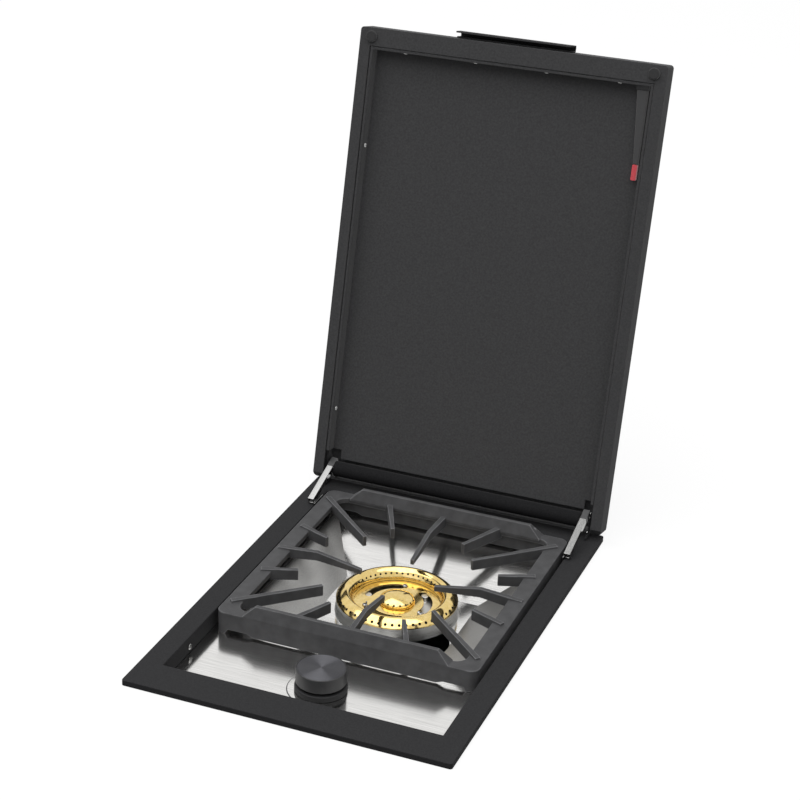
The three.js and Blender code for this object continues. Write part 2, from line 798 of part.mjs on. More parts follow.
const sparkWide = 48;
const sparkDeep = 34;
const sparkTall = 26;
const sparkFromSide = 58;
const sparkAhead = 158;
const sparkCorner = 3;
const sparkX = sparkFromSide - boxInnerX;
const sparkY = burnerY - sparkAhead;
const leadRadius = 2;
const leadRise = 10;
const leadStraight = 14;
const leadSag = 22;
const leadLowest = 26;

const sparkBox = () => block(sparkX - sparkWide / 2, sparkX + sparkWide / 2, sparkY - sparkDeep / 2,
  sparkY + sparkDeep / 2, -boxDepth + boxSheet + seat, -boxDepth + boxSheet + sparkTall,
  sparkCorner);

function ignitionLead() {
  const angle = THREE.MathUtils.degToRad(igniterAngle);
  const tipX = slotMid * Math.cos(angle);
  const tipY = burnerY + slotMid * Math.sin(angle);
  const sparkTop = -boxDepth + boxSheet + sparkTall + seat;
  const ceramicFoot = -cupThroatDrop - seat;
  return pipe([
    [sparkX, sparkY, sparkTop], [sparkX, sparkY, sparkTop + leadRise],
    [sparkX * 0.75, sparkY * 0.5, ceramicFoot - leadSag],
    [(sparkX + tipX) / 2, 0, ceramicFoot - leadLowest],
    [tipX, tipY, ceramicFoot - leadStraight], [tipX, tipY, ceramicFoot]], leadRadius);
}

// Pan support: a cast frame with feet, raised front and back bars and radial fingers

const grateTop = 6;
const grateRim = 20;
const grateEndRim = 13;
const grateRound = 11;
const grateInnerRound = 14;
const apronDrop = 18;
const archDrop = 15;
const apronWall = 7;
const footWide = 12;
const footSlope = 3;
const archWide = 26;
const archSlope = 8;
const barTop = 19.3;
const barLean = 5;
const barThick = 5;
const barFootInset = 32.5;
const barTopInset = 47;
const barFootHalf = supportHalfX - barFootInset;
const barTopHalf = supportHalfX - barTopInset;
const fingerTop = 9;
const fingerWide = 6.6;
const fingerTipWide = 4.6;
const fingerDeep = 13.5;
const longTipDeep = 6.5;
const kinkDeep = 11;
const kinkReach = 100;
const kinkTop = 12;
const longTipTop = 1.8;
const longEndTop = 8;
const tipDip = 0.4;
const edgeRound = 1;
const ridgeEnd = 4;

const shortTip = 114;
const endShortTip = 105;
const diagonalTip = 92;
const longTip = 45;
const shortAngle = 21.9;
const diagonalAngle = 43.6;
const endShortAngle = 65.2;

// One finger along +X from the burner axis, as [distance, top height, depth] points
function finger(tip, end, ridge) {
  const top = ridge.map(([reach, height]) => [reach, height]);
  const bottom = ridge.map(([reach, height, deep]) => [reach, height - deep]);
  const side = frontSlab(outline([...top, ...bottom.reverse()]), -fingerWide, fingerWide);
  const plan = outline([
    [tip, -fingerTipWide / 2], [end, -fingerWide / 2], [end, fingerWide / 2],
    [tip, fingerTipWide / 2]]);
  return side.intersect(slab(plan, -flangeDrop, barTop));
}

function fingerReach(angle, inset) {
  const turn = THREE.MathUtils.degToRad(angle);
  const acrossX = (supportHalfX - inset) / Math.abs(Math.cos(turn) || 1e-9);
  const acrossY = (supportHalfY - inset) / Math.abs(Math.sin(turn) || 1e-9);
  return Math.min(acrossX, acrossY);
}

function plainFinger(tip, angle, inset) {
  const end = fingerReach(angle, inset);
  return finger(tip, end, [[tip, fingerTop - tipDip, fingerDeep], [end, fingerTop, fingerDeep]])
    .rotate([0, 0, angle]);
}

function longFinger(angle, inset) {
  const end = fingerReach(angle, inset);
  return finger(longTip, end, [[longTip, longTipTop, longTipDeep], [kinkReach, kinkTop, kinkDeep],
    [end, longEndTop, fingerDeep]]).rotate([0, 0, angle]);
}

// The apron's lower edge along one side: feet at the ends, a small arch beside each foot
function apronSide(half, thickFrom, thickTo, asSlab) {
  const foot = -panelDrop + seat;
  const edge = [
    [-half, grateTop], [-half, foot], [-half + footWide, foot],
    [-half + footWide + footSlope, -archDrop], [-half + footWide + archWide, -archDrop],
    [-half + footWide + archWide + archSlope, -apronDrop]];
  const mirrored = edge.map(([x, z]) => [-x, z]).reverse();
  return asSlab(outline([...edge, ...mirrored]), thickFrom, thickTo);
}

function raisedBar() {
  const outer = -supportHalfY;
  const section = outline([
    [outer, grateTop - overrun], [outer, grateTop], [outer + barLean, barTop],
    [outer + barLean + barThick, barTop], [outer + 2 * barLean + barThick, grateTop],
    [outer + 2 * barLean + barThick, grateTop - overrun]]);
  const ends = outline([
    [-barFootHalf, grateTop], [-barFootHalf, grateTop - overrun], [barFootHalf, grateTop - overrun],
    [barFootHalf, grateTop], [barTopHalf, barTop + overrun / 10],
    [-barTopHalf, barTop + overrun / 10]]);
  const bar = sideSlab(section, -barFootHalf, barFootHalf);
  return bar.intersect(frontSlab(ends, outer - overrun, outer + 4 * barThick));
}

function grate() {
  const rim = rectangle(-supportHalfX, supportHalfX, -supportHalfY, supportHalfY, grateRound);
  rim.holes.push(rectangle(-supportHalfX + grateRim, supportHalfX - grateRim,
    -supportHalfY + grateEndRim, supportHalfY - grateEndRim, grateInnerRound));
  const top = slab(rim, grateTop - apronWall, grateTop, edgeRound);
  const envelope = slab(rectangle(-supportHalfX, supportHalfX, -supportHalfY, supportHalfY, grateRound),
    -panelDrop, grateTop - edgeRound);
  const aprons = join(
    apronSide(supportHalfX, -supportHalfY, -supportHalfY + apronWall, frontSlab),
    apronSide(supportHalfX, supportHalfY - apronWall, supportHalfY, frontSlab),
    apronSide(supportHalfY, -supportHalfX, -supportHalfX + apronWall, sideSlab),
    apronSide(supportHalfY, supportHalfX - apronWall, supportHalfX, sideSlab)).intersect(envelope);
  const bars = join(raisedBar(), raisedBar().rotate([0, 0, 180]));
  const fingers = [];
  const edge = barLean + barThick;
  for (const half of [0, 180]) {
    fingers.push(longFinger(half, ridgeEnd), longFinger(half + 90, edge));
    for (const sign of [-1, 1]) {
      fingers.push(
        plainFinger(shortTip, half + sign * shortAngle, 2 * ridgeEnd),
        plainFinger(diagonalTip, half + sign * diagonalAngle, 2 * ridgeEnd),
        plainFinger(endShortTip, half + sign * endShortAngle, edge));
    }
  }
  return join(top, aprons, bars, ...fingers).translate([0, burnerY, 0]);
}

// Lid hinge: a gooseneck bracket and pin at each side, hidden in the lid's lower corners

const hingePlateOut = 8.2;
const hingePlateX = openX + hingePlateOut;
const hingePlate = 2.4;
const leafOut = 11;
const leafX = openX + leafOut;
const leafPlate = 1.8;
const pinRadius = 2.5;
const pinHeadRadius = 3.5;
const pinHeadThick = 1.2;
const eyeRadius = 6;

// The bracket's side seen from the right, as [behind the hinge axis, above the bezel]
const bracketSide = [
  [-24, seat], [-4.5, seat], [-4.5, 6], [eyeRadius, 17.28], [eyeRadius, hingeZ],
  [-eyeRadius, hingeZ], [-eyeRadius, 18.28], [-12, 5], [-24, 3]];

function hingeBracket() {
  const profile = outline(bracketSide.map(([y, z]) => [hingeY + y, z]));
  const plate = join(
    sideSlab(profile, hingePlateX, hingePlateX + hingePlate),
    crossRod(eyeRadius, hingePlateX, hingePlateX + hingePlate, hingeY, hingeZ, roundSides));
  return cut(plate, crossRod(pinRadius + seat, hingePlateX - overrun,
    hingePlateX + hingePlate + overrun, hingeY, hingeZ));
}

const hingePin = () => join(
  crossRod(pinRadius, hingePlateX - seat, leafX + leafPlate + seat, hingeY, hingeZ),
  crossRod(pinHeadRadius, hingePlateX - seat - pinHeadThick, hingePlateX - seat, hingeY, hingeZ));

// Stays: bright steel channels that swing on a stud at the lid and run over a stud on the bezel

const stayOut = 3.9;
const stayX = openX + stayOut;
const stayWide = 7.5;
const stayTall = 7.2;
const stayWall = 1;
const stayLength = 74.3;
const staySlope = 16.35;
const stayPivotAhead = 7.85;
const stayPivotRise = 4.3;
const stayPivotY = hingeY - stayPivotAhead;
const stayPivotZ = hingeZ + stayPivotRise;
const studRadius = 2;
const guideAhead = 79.35;
const guideLong = 26;
const guideFront = hingeY - guideAhead;
const guideBack = guideFront + guideLong;
const guideTop = 3;
const guideFoot = 15;
const guideThick = 1;
const guideStudFromFront = 4;
const guideStudY = guideFront + guideStudFromFront;
const guideStudZ = 1.55;
const guideStud = 1.2;

function stayArm() {
  const tail = stayTall / 2;
  const bar = block(-stayWide / 2, stayWide / 2, -stayLength, tail, -tail, tail);
  const inside = block(-stayWide / 2 + stayWall, stayWide / 2 - stayWall, -stayLength - overrun,
    tail + overrun, -tail - overrun, tail - stayWall);
  const pivotHole = crossRod(studRadius + seat, -stayWide, stayWide, 0, 0);
  return cut(bar, inside, pivotHole);
}

function stayGuide() {
  const outside = openX - seat;
  return join(
    block(outside - guideThick, outside, guideFront, guideBack, -guideFoot, guideTop),
    crossRod(guideStud, outside - guideThick, stayX + stayWide / 2, guideStudY, guideStudZ));
}

// Lid, modelled shut about its hinge axis: Y runs back, Z up

const lidHalf = halfWidth;
const lidBack = hingeFromLidBack;
const lidFront = lidBack - lidLength;
const lidRim = -hingeFromLidRim;
const lidTop = lidRim + lidThick;
const lidInnerX = lidHalf - lidSideFrame;
const lidInnerFront = lidFront + lidFrontFrame;
const lidRound = 2.5;
const lidCorner = 4;
const heelChamfer = 6.5;
const heelMargin = 0.1;
const notchWide = 14.8;
const notchInner = lidInnerX - notchWide;
const notchDeep = 24;
const notchLong = 36;
const bracketWayDeep = 20;

function lidNotch(side, long) {
  const x0 = side > 0 ? notchInner : -lidInnerX;
  const x1 = side > 0 ? lidInnerX : -notchInner;
  return block(x0, x1, lidBack - long, lidBack + overrun, lidRim - overrun, lidRim + notchDeep);
}

// The narrow way in the back wall that a hinge bracket passes when the lid opens
function bracketWay(side, long) {
  const inner = hingePlateX - slide;
  const outer = hingePlateX + hingePlate + slide;
  const [x0, x1] = side > 0 ? [inner, outer] : [-outer, -inner];
  return block(x0, x1, lidBack - long, lidBack + overrun, lidRim - overrun, lidRim + bracketWayDeep);
}

// The corner cut off the lid's lower back edge, pushed outwards by the given margin
function heelCut(margin) {
  const leg = heelChamfer + 2 * margin;
  const [back, rim] = [lidBack + margin, lidRim - margin];
  return sideSlab(outline([[back - leg, rim], [back, rim], [back, rim + leg]]), -lidHalf, lidHalf);
}

function lidShell() {
  const full = rectangle(-lidHalf, lidHalf, lidFront, lidBack, lidCorner);
  const skin = cut(slab(full, lidRim - 2 * lidRound, lidTop, lidRound), heelCut(heelMargin));
  const heelLeg = heelChamfer + 2 * lidSheet;
  const heelInside = sideSlab(outline([[lidBack - heelLeg, lidRim], [lidBack, lidRim],
    [lidBack, lidRim + heelLeg]]), -lidHalf, lidHalf);
  const below = block(-lidHalf - overrun, lidHalf + overrun, lidFront - overrun, lidBack + overrun,
    lidRim - 4 * overrun, lidRim);
  const hollow = cut(block(-lidHalf + lidSheet, lidHalf - lidSheet, lidFront + lidSheet,
    lidBack - lidSheet, lidRim + lidSheet, lidTop - lidSheet), heelInside);
  const window = block(-lidInnerX, lidInnerX, lidInnerFront, lidBack - lidSheet,
    lidRim - overrun, lidRim + lidSheet + overrun);
  const heel = block(-lidInnerX, lidInnerX, lidBack - heelLeg, lidBack + overrun,
    lidRim - overrun, lidRim + heelChamfer + 2 * heelMargin);
  return cut(skin, below, hollow, window, heel, bracketWay(-1, heelLeg), bracketWay(1, heelLeg));
}

const linerSheet = 1.2;
const linerBack = 24.5;
const linerGroove = 0.9;
const hemWide = 3.2;
const hemDeep = 2.4;

function lidLiner() {
  const top = lidRim + linerGroove;
  const floor = lidRim + lidRecess;
  const hemX = lidInnerX - linerGroove;
  const hemFront = lidInnerFront + linerGroove;
  const wallX = hemX - hemWide;
  const wallFront = hemFront + hemWide;
  const back = lidBack - linerBack;
  const tray = join(
    block(-wallX - linerSheet, wallX + linerSheet, wallFront - linerSheet, back,
      top, floor + linerSheet),
    block(-hemX, hemX, hemFront, back, top, top + hemDeep));
  const inside = block(-wallX, wallX, wallFront, back + overrun, top - overrun, floor);
  return cut(tray, inside, lidNotch(-1, notchLong), lidNotch(1, notchLong));
}

// Rounded tube along the lid's lower edge, with a plug at each end that carries a stay stud

const tubeRadius = 9.4;
const tubeWall = 1.5;
const tubeHalf = notchInner - 2 * seat;
const tubeFromBack = 14.4;
const tubeFromRim = 5.7;
const plugThick = 1.1;
const earFrom = 2;
const earTall = 6;

const tubeY = lidBack - tubeFromBack;
const tubeZ = lidRim + tubeFromRim;

const hingeTube = () => cut(
  crossRod(tubeRadius, -tubeHalf, tubeHalf, tubeY, tubeZ, roundSides),
  crossRod(tubeRadius - tubeWall, -tubeHalf - overrun, tubeHalf + overrun, tubeY, tubeZ, roundSides));

// Where the stay's stud sits in the lid's own frame
function studInLid() {
  const open = THREE.MathUtils.degToRad(lidOpenAngle);
  const y = stayPivotY - hingeY;
  const z = stayPivotZ - hingeZ;
  return [y * Math.cos(open) - z * Math.sin(open), y * Math.sin(open) + z * Math.cos(open)];
}

// The plug's ear reaches back to the lid's back wall and holds the tube there
function tubePlug() {
  const [y, z] = studInLid();
  const from = tubeHalf + seat;
  return join(
    crossRod(tubeRadius, from, from + plugThick, tubeY, tubeZ, roundSides),
    block(from, from + plugThick, tubeY, lidBack - lidSheet - seat, tubeZ + earFrom,
      tubeZ + earFrom + earTall),
    crossRod(studRadius, from, stayX + stayWide / 2, y, z));
}

// The leaf's arm seen from the right, as [behind, above] the hinge axis with the lid shut
const leafSide = [[4, -eyeRadius], [4, -2], [-eyeRadius, 4.5], [-12, -2.6], [-46, -2.6],
  [-46, -12], [-8, -12]];

function hingeLeaf() {
  const eye = crossRod(eyeRadius, leafX, leafX + leafPlate, 0, 0, roundSides);
  const arm = outline(leafSide);
  const pinHole = crossRod(pinRadius + seat, leafX - overrun, leafX + leafPlate + overrun, 0, 0);
  return cut(join(eye, sideSlab(arm, leafX, leafX + leafPlate)), pinHole);
}

// Pull handle: a hooked lip on the lid's front wall

const handleHalf = 70;
const handleReach = 8;
const handleSheet = 1.6;
const handleTop = 27;
const handleBottom = 5;
const handleBend = 5;
const handleLip = 1;

function lidHandle() {
  const face = lidFront - seat;
  const reach = face - handleReach + seat;
  const top = lidRim + handleTop;
  const bottom = lidRim + handleBottom;
  const bend = handleBend;
  const hook = new THREE.Shape();
  hook.moveTo(face, top);
  hook.lineTo(reach + bend, top);
  hook.absarc(reach + bend, top - bend, bend, Math.PI / 2, Math.PI, false);
  hook.lineTo(reach, bottom + handleLip);
  hook.lineTo(reach + handleSheet, bottom);
  hook.lineTo(reach + handleSheet, top - bend);
  hook.absarc(reach + bend, top - bend, bend - handleSheet, Math.PI, Math.PI / 2, true);
  hook.lineTo(face - handleSheet, top - handleSheet);
  hook.lineTo(face - handleSheet, top - 3 * bend);
  hook.lineTo(face, top - 3 * bend);
  hook.closePath();
  const round = frontSlab(rectangle(-handleHalf, handleHalf, bottom - overrun, top + overrun, bend),
    face - handleReach - overrun, face + overrun);
  return sideSlab(hook, -handleHalf, handleHalf).intersect(round);
}

// Rubber stops at the lid's front corners

const bumperRadius = 6.6;
const bumperFromSide = 14.6;
const bumperRound = 0.8;
const bumperX = lidHalf - bumperFromSide;
const bumperFromFront = 10;

const lidBumper = () => turned([
  [0, lidRim - lidRimGap + seat], [bumperRadius - bumperRound, lidRim - lidRimGap + seat],
  [bumperRadius, lidRim - lidRimGap + seat + bumperRound], [bumperRadius, lidRim - seat],
  [0, lidRim - seat]],
roundSides).translate([0, lidFront + bumperFromFront, 0]);

// Lighting wand kept in the lid's upper right corner: a tapered holder with a red tip

const wandFromSide = 7.8;
const wandTopWide = 13.2;
const wandEndWide = 5.9;
const wandTopX1 = lidInnerX - wandFromSide;
const wandTopX0 = wandTopX1 - wandTopWide;
const wandEndX1 = wandTopX1;
const wandEndX0 = wandEndX1 - wandEndWide;
const wandFromFront = 26;
const wandLong = 88;
const wandTipLong = 18;
const wandThick = 6;
const wandRaise = 3.2;
const wandEdge = 1;
const tipInset = 0.4;
const clipInset = 2;
const clipFrom = 6;
const clipTo = 40;

const wandTopY = lidFront + wandFromFront;
const wandFace = lidRim + lidRecess - wandRaise - wandThick;

function wandBlade() {
  const plan = outline([
    [wandTopX0, wandTopY], [wandTopX1, wandTopY], [wandEndX1, wandTopY + wandLong],
    [wandEndX0, wandTopY + wandLong]]);
  return slab(plan, wandFace, wandFace + wandThick, wandEdge);
}

const wandTip = () => slab(rectangle(wandEndX0 - tipInset, wandEndX1 - tipInset,
  wandTopY + wandLong + seat, wandTopY + wandLong + wandTipLong, wandEdge),
wandFace + tipInset, wandFace + wandThick - tipInset);

const wandHolder = () => block(wandTopX0 + clipInset, wandTopX1 - clipInset, wandTopY + clipFrom,
  wandTopY + clipTo, lidRim + lidRecess - wandRaise + seat, lidRim + lidRecess - seat);

// Assembly

addPiece(unit, 'bezel_frame', bezelFrame(), blackCoat);
addPiece(unit, 'bench_seal', benchSeal(), blackRubber);
addPiece(unit, 'burner_pan', burnerPan(), stainless);
addPiece(unit, 'lower_box', lowerBox(), zincSteel);
for (const [sideName, side] of bothSides) {
  for (const [endName, along] of clampPlaces) {
    addPiece(unit, `clamp_bracket_${endName}_${sideName}`, clampBracket(side, along), zincSteel);
    addPiece(unit, `clamp_bolt_${endName}_${sideName}`, clampBolt(side, along), zincSteel);
  }
  addPiece(unit, `wall_screw_${sideName}`, wallScrew(side, openFront + wallScrewFromFront),
    brightSteel);
}
addPiece(unit, 'burner_cup', cut(join(burnerCup(), ...platePillars()),
  ...[igniterAngle, sensorAngle].map((angle) => atBurner(
    disc(cupPortRadius, -cupThroatDrop, -plateDrop, smallSides), angle))), aluminium);
addPiece(unit, 'flame_ring', burnerRing(), brass);
addPiece(unit, 'burner_plate', burnerPlate(), brass);
addPiece(unit, 'centre_cap', burnerCap(), brass);
plateScrewAngles.forEach((angle, i) =>
  addPiece(unit, `plate_screw_${i + 1}`, plateScrew(angle), brightSteel));
addPiece(unit, 'igniter_ceramic', igniterBody(), whiteCeramic);
addPiece(unit, 'igniter_electrode', igniterTip(), brightSteel);
addPiece(unit, 'flame_sensor', flameSensor(), brightSteel);
addPiece(unit, 'mixer_tube', mixerTube(), zincSteel);
addPiece(unit, 'jet_holder', jetHolder(), brass);
addPiece(unit, 'gas_valve', gasValve(), brass);
addPiece(unit, 'feed_pipe', feedPipe(), aluminium);
addPiece(unit, 'outlet_pipe', outletPipe(), aluminium);
addPiece(unit, 'gas_inlet', gasInlet(), brass);
addPiece(unit, 'spark_box', sparkBox(), blackPlastic);
addPiece(unit, 'ignition_lead', ignitionLead(), blackRubber);
addPiece(unit, 'knob_ring', knobRing(), blackPlastic);
addPiece(unit, 'valve_collar', valveCollar(), brass);
addPiece(unit, 'valve_spring', valveSpring(), brightSteel);
addPiece(unit, 'valve_stem', valveStem(), brightSteel);
addPiece(unit, 'knob_body', knobBody(), blackPlastic);
addPiece(unit, 'knob_disc', knobDisc(), spunMetal);
addPiece(unit, 'pan_support', grate(), castIron);

addPiece(lid, 'lid_shell', lidShell(), lidCoat);
addPiece(lid, 'lid_liner', lidLiner(), lidCoat);
addPiece(lid, 'lid_tube', hingeTube(), lidCoat);
addPiece(lid, 'lid_handle', lidHandle(), blackCoat);
addPiece(lid, 'lighting_wand', wandBlade(), blackPlastic);
addPiece(lid, 'wand_tip', wandTip(), redPlastic);
addPiece(lid, 'wand_holder', wandHolder(), blackRubber);

for (const [sideName, side] of bothSides) {
  const place = (solid) => (side > 0 ? solid : solid.mirror([1, 0, 0]));
  addPiece(unit, `hinge_bracket_${sideName}`, place(hingeBracket()), zincSteel);
  addPiece(unit, `hinge_pin_${sideName}`, place(hingePin()), brightSteel);
  addPiece(unit, `stay_guide_${sideName}`, place(stayGuide()), brightSteel);
  addPiece(lid, `hinge_leaf_${sideName}`, place(hingeLeaf()), zincSteel);
  addPiece(lid, `tube_plug_${sideName}`, place(tubePlug()), lidCoat);
  addPiece(lid, `lid_bumper_${sideName}`, place(lidBumper().translate([bumperX, 0, 0])),
    blackRubber);
  const stay = addPiece(unit, `stay_arm_${sideName}`, stayArm(), brightSteel);
  stay.position.set(side * stayX, stayPivotY, stayPivotZ);
  stay.rotation.x = THREE.MathUtils.degToRad(staySlope);
}

export default unit;
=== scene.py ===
import math
import bmesh
import bpy
from mathutils import Matrix, Vector


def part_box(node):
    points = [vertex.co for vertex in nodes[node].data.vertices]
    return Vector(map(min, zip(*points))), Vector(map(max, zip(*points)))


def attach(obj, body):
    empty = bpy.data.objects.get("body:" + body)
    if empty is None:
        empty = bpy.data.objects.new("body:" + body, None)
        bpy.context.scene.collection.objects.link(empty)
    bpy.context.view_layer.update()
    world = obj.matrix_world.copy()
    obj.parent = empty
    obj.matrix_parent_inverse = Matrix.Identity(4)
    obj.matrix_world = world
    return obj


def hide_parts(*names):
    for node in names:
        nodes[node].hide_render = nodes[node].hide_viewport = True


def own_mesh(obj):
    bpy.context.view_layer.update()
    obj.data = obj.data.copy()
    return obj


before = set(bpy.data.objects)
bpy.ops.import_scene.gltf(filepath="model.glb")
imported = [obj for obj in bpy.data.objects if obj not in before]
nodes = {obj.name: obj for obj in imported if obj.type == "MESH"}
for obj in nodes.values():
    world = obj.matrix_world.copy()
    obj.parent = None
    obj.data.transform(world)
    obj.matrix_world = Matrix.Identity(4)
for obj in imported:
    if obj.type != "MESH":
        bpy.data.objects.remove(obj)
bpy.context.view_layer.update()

scene = bpy.context.scene
mm = 0.001  # sizes below are in mm and angles in degrees, unless a note says otherwise
print("frame loaded:", len(nodes), "nodes")


# camera, from the lines of the photo

view = {
    "place": (0.7437, -1.7045, 1.2242),  # in metres
    "azimuth": 22.932,
    "elevation": 26.874,
    "roll": 1.139,
    "lens": 97.14,
    "shiftX": 0.1125,  # the photo is cut off centre, as shares of its width
    "shiftY": 0.0971,
}


def setCamera():
    az, el, roll = (math.radians(view[k]) for k in ("azimuth", "elevation", "roll"))
    ahead = Vector((-math.sin(az) * math.cos(el), math.cos(az) * math.cos(el), -math.sin(el)))
    level = ahead.cross(Vector((0, 0, 1))).normalized()
    upright = level.cross(ahead)
    right = math.cos(roll) * level + math.sin(roll) * upright
    up = math.cos(roll) * upright - math.sin(roll) * level
    lens = bpy.data.cameras.new("camera")
    lens.lens = view["lens"]
    lens.shift_x = view["shiftX"]
    lens.shift_y = view["shiftY"]
    camera = bpy.data.objects.new("camera", lens)
    turn = Matrix((right, up, -ahead)).transposed().to_4x4()
    camera.matrix_world = Matrix.Translation(view["place"]) @ turn
    scene.collection.objects.link(camera)
    scene.camera = camera


setCamera()
print("camera set")


# materials

def linear(hexText):
    parts = [int(hexText[i:i + 2], 16) / 255 for i in (1, 3, 5)]
    return tuple(c / 12.92 if c <= 0.04045 else ((c + 0.055) / 1.055) ** 2.4 for c in parts) + (1,)


def addNode(tree, kind, settings=None, links=None):
    node = tree.nodes.new(kind)
    for key, value in (settings or {}).items():
        if isinstance(key, str) and hasattr(node, key):
            setattr(node, key, value)
        else:
            node.inputs[key].default_value = value
    for key, source in (links or {}).items():
        tree.links.new(source, node.inputs[key])
    return node


def newMaterial(name, settings):
    material = bpy.data.materials.new(name)
    material.use_nodes = True
    tree = material.node_tree
    tree.nodes.clear()
    shader = addNode(tree, "ShaderNodeBsdfPrincipled", settings)
    out = addNode(tree, "ShaderNodeOutputMaterial")
    tree.links.new(shader.outputs["BSDF"], out.inputs["Surface"])
    place = addNode(tree, "ShaderNodeTexCoord").outputs["Object"]
    return material, tree, shader, place


def grain(tree, place, size, detail=2, stretch=(1, 1, 1)):
    # size is the grain's real width in mm; stretch draws it out along an axis
    scale = tuple(1 / (size * mm * s) for s in stretch)
    spread = addNode(tree, "ShaderNodeMapping", {"Scale": scale}, {"Vector": place})
    return addNode(tree, "ShaderNodeTexNoise", {"Scale": 1, "Detail": detail},
                   {"Vector": spread.outputs["Vector"]}).outputs["Fac"]


def between(tree, source, low, high):
    # noise keeps mostly between 0.3 and 0.7, and is spread here over the wanted range
    return addNode(tree, "ShaderNodeMapRange", {"From Min": 0.3, "From Max": 0.7, "To Min": low,
                   "To Max": high}, {"Value": source}).outputs["Result"]


def shade(tree, shader, source, dark, light):
    mix = addNode(tree, "ShaderNodeMix", {"data_type": "RGBA", 6: linear(dark), 7: linear(light)},
                  {0: source})
    tree.links.new(mix.outputs[2], shader.inputs["Base Color"])


def rough(tree, shader, source, low, high):
    tree.links.new(between(tree, source, low, high), shader.inputs["Roughness"])


def dent(tree, shader, source, strength, depth):
    bump = addNode(tree, "ShaderNodeBump", {"Strength": strength, "Distance": depth * mm},
                   {"Height": source})
    tree.links.new(bump.outputs["Normal"], shader.inputs["Normal"])


def powderCoat(name, dark, light, sheen):
    # baked polyester powder on steel: near black, a fine even orange peel, soft broad sheen
    material, tree, shader, place = newMaterial(name, {"IOR": 1.5, "Specular IOR Level": sheen})
    fine = grain(tree, place, 0.9)
    shade(tree, shader, between(tree, grain(tree, place, 1.6, 4), 0, 1), dark, light)
    rough(tree, shader, fine, 0.55, 0.65)
    dent(tree, shader, fine, 0.12, 0.05)
    return material


def litLidCoat():
    # the lid's powder coat, a finer dead matt that shows as a faint salt and pepper; its colour is
    # lighter than the bezel's, as painted light
    material, tree, shader, place = newMaterial("powderCoatLidPaintedLight", {"IOR": 1.5,
                                                "Specular IOR Level": 0.06})
    fine = grain(tree, place, 1.1)
    shade(tree, shader, between(tree, grain(tree, place, 2.2, 3), 0, 1), "#3b3b3c", "#444445")
    rough(tree, shader, fine, 0.58, 0.68)
    dent(tree, shader, fine, 0.15, 0.05)
    return material


# the panel and the drawn walls of the pan: line width in mm, and how far each line is drawn out
brushed = {"dark": "#8c8b89", "light": "#ecebe9", "line": 0.3, "drawnOut": 120, "rough": 0.12,
           "lineRough": 0.04, "wallRougher": 0.22, "wallPaintedShade": 0.65, "sideFrom": 0.4,
           "levelFrom": 0.98}


def brushedSteel():
    # rolled stainless sheet, belt brushed: fine hair lines over a clear dark mirror
    material, tree, shader, place = newMaterial("brushedStainless", {
        "Metallic": 1, "Anisotropic": 0.6, "Anisotropic Rotation": 0.25})
    normal = addNode(tree, "ShaderNodeNewGeometry").outputs["Normal"]
    facing = addNode(tree, "ShaderNodeSeparateXYZ", {}, {0: normal})
    side = addNode(tree, "ShaderNodeMath", {"operation": "ABSOLUTE"}, {0: facing.outputs[0]})
    onSide = addNode(tree, "ShaderNodeMath", {"operation": "GREATER_THAN", 1: brushed["sideFrom"]},
                     {0: side.outputs[0]}).outputs[0]
    # the real lines are 0.1 mm wide, drawn wider so that they show
    across = grain(tree, place, brushed["line"], 1, (brushed["drawnOut"], 1, 1))
    along = grain(tree, place, brushed["line"], 1, (1, brushed["drawnOut"], 1))
    hair = addNode(tree, "ShaderNodeMix", {}, {0: onSide, 2: across, 3: along}).outputs[0]
    # the drawn walls are duller than the level panel, and their colour is darkened as painted shade
    upright = addNode(tree, "ShaderNodeMath", {"operation": "LESS_THAN", 1: brushed["levelFrom"]},
                      {0: facing.outputs[2]}).outputs[0]
    tone = addNode(tree, "ShaderNodeMath",
                   {"operation": "MULTIPLY_ADD", 1: -brushed["wallPaintedShade"]},
                   {0: upright, 2: between(tree, hair, 0.65, 1)}).outputs[0]
    shade(tree, shader, tone, brushed["dark"], brushed["light"])
    lineRough = addNode(tree, "ShaderNodeMath", {"operation": "MULTIPLY_ADD",
                        1: brushed["lineRough"], 2: brushed["rough"]}, {0: hair}).outputs[0]
    roughness = addNode(tree, "ShaderNodeMath",
                        {"operation": "MULTIPLY_ADD", 1: brushed["wallRougher"]},
                        {0: upright, 2: lineRough}).outputs[0]
    tree.links.new(roughness, shader.inputs["Roughness"])
    lineAlong = addNode(tree, "ShaderNodeMix", {"data_type": "VECTOR", 4: (1, 0, 0), 5: (0, 1, 0)},
                        {0: onSide}).outputs[1]
    tree.links.new(lineAlong, shader.inputs["Tangent"])
    return material


def polishedBrass():
    # cast brass, turned and buffed: warm yellow mirror with faint buffing haze and casting grit
    material, tree, shader, place = newMaterial("polishedBrass", {"Metallic": 1})
    grit = grain(tree, place, 0.8, 3)
    shade(tree, shader, between(tree, grain(tree, place, 6, 3), 0, 1), "#dcbf76", "#e9d091")
    rough(tree, shader, grit, 0.09, 0.16)
    dent(tree, shader, grit, 0.06, 0.02)
    return material


def turnedAluminium():
    # the cup's skirt: cast aluminium, skimmed on a lathe, so fine rings run round it
    material, tree, shader, place = newMaterial("turnedAluminium", {"Metallic": 1})
    rings = grain(tree, place, 0.5, 2, (80, 80, 1))
    shade(tree, shader, rings, "#b9b9b8", "#dddddb")
    rough(tree, shader, rings, 0.26, 0.4)
    dent(tree, shader, rings, 0.1, 0.02)
    return material


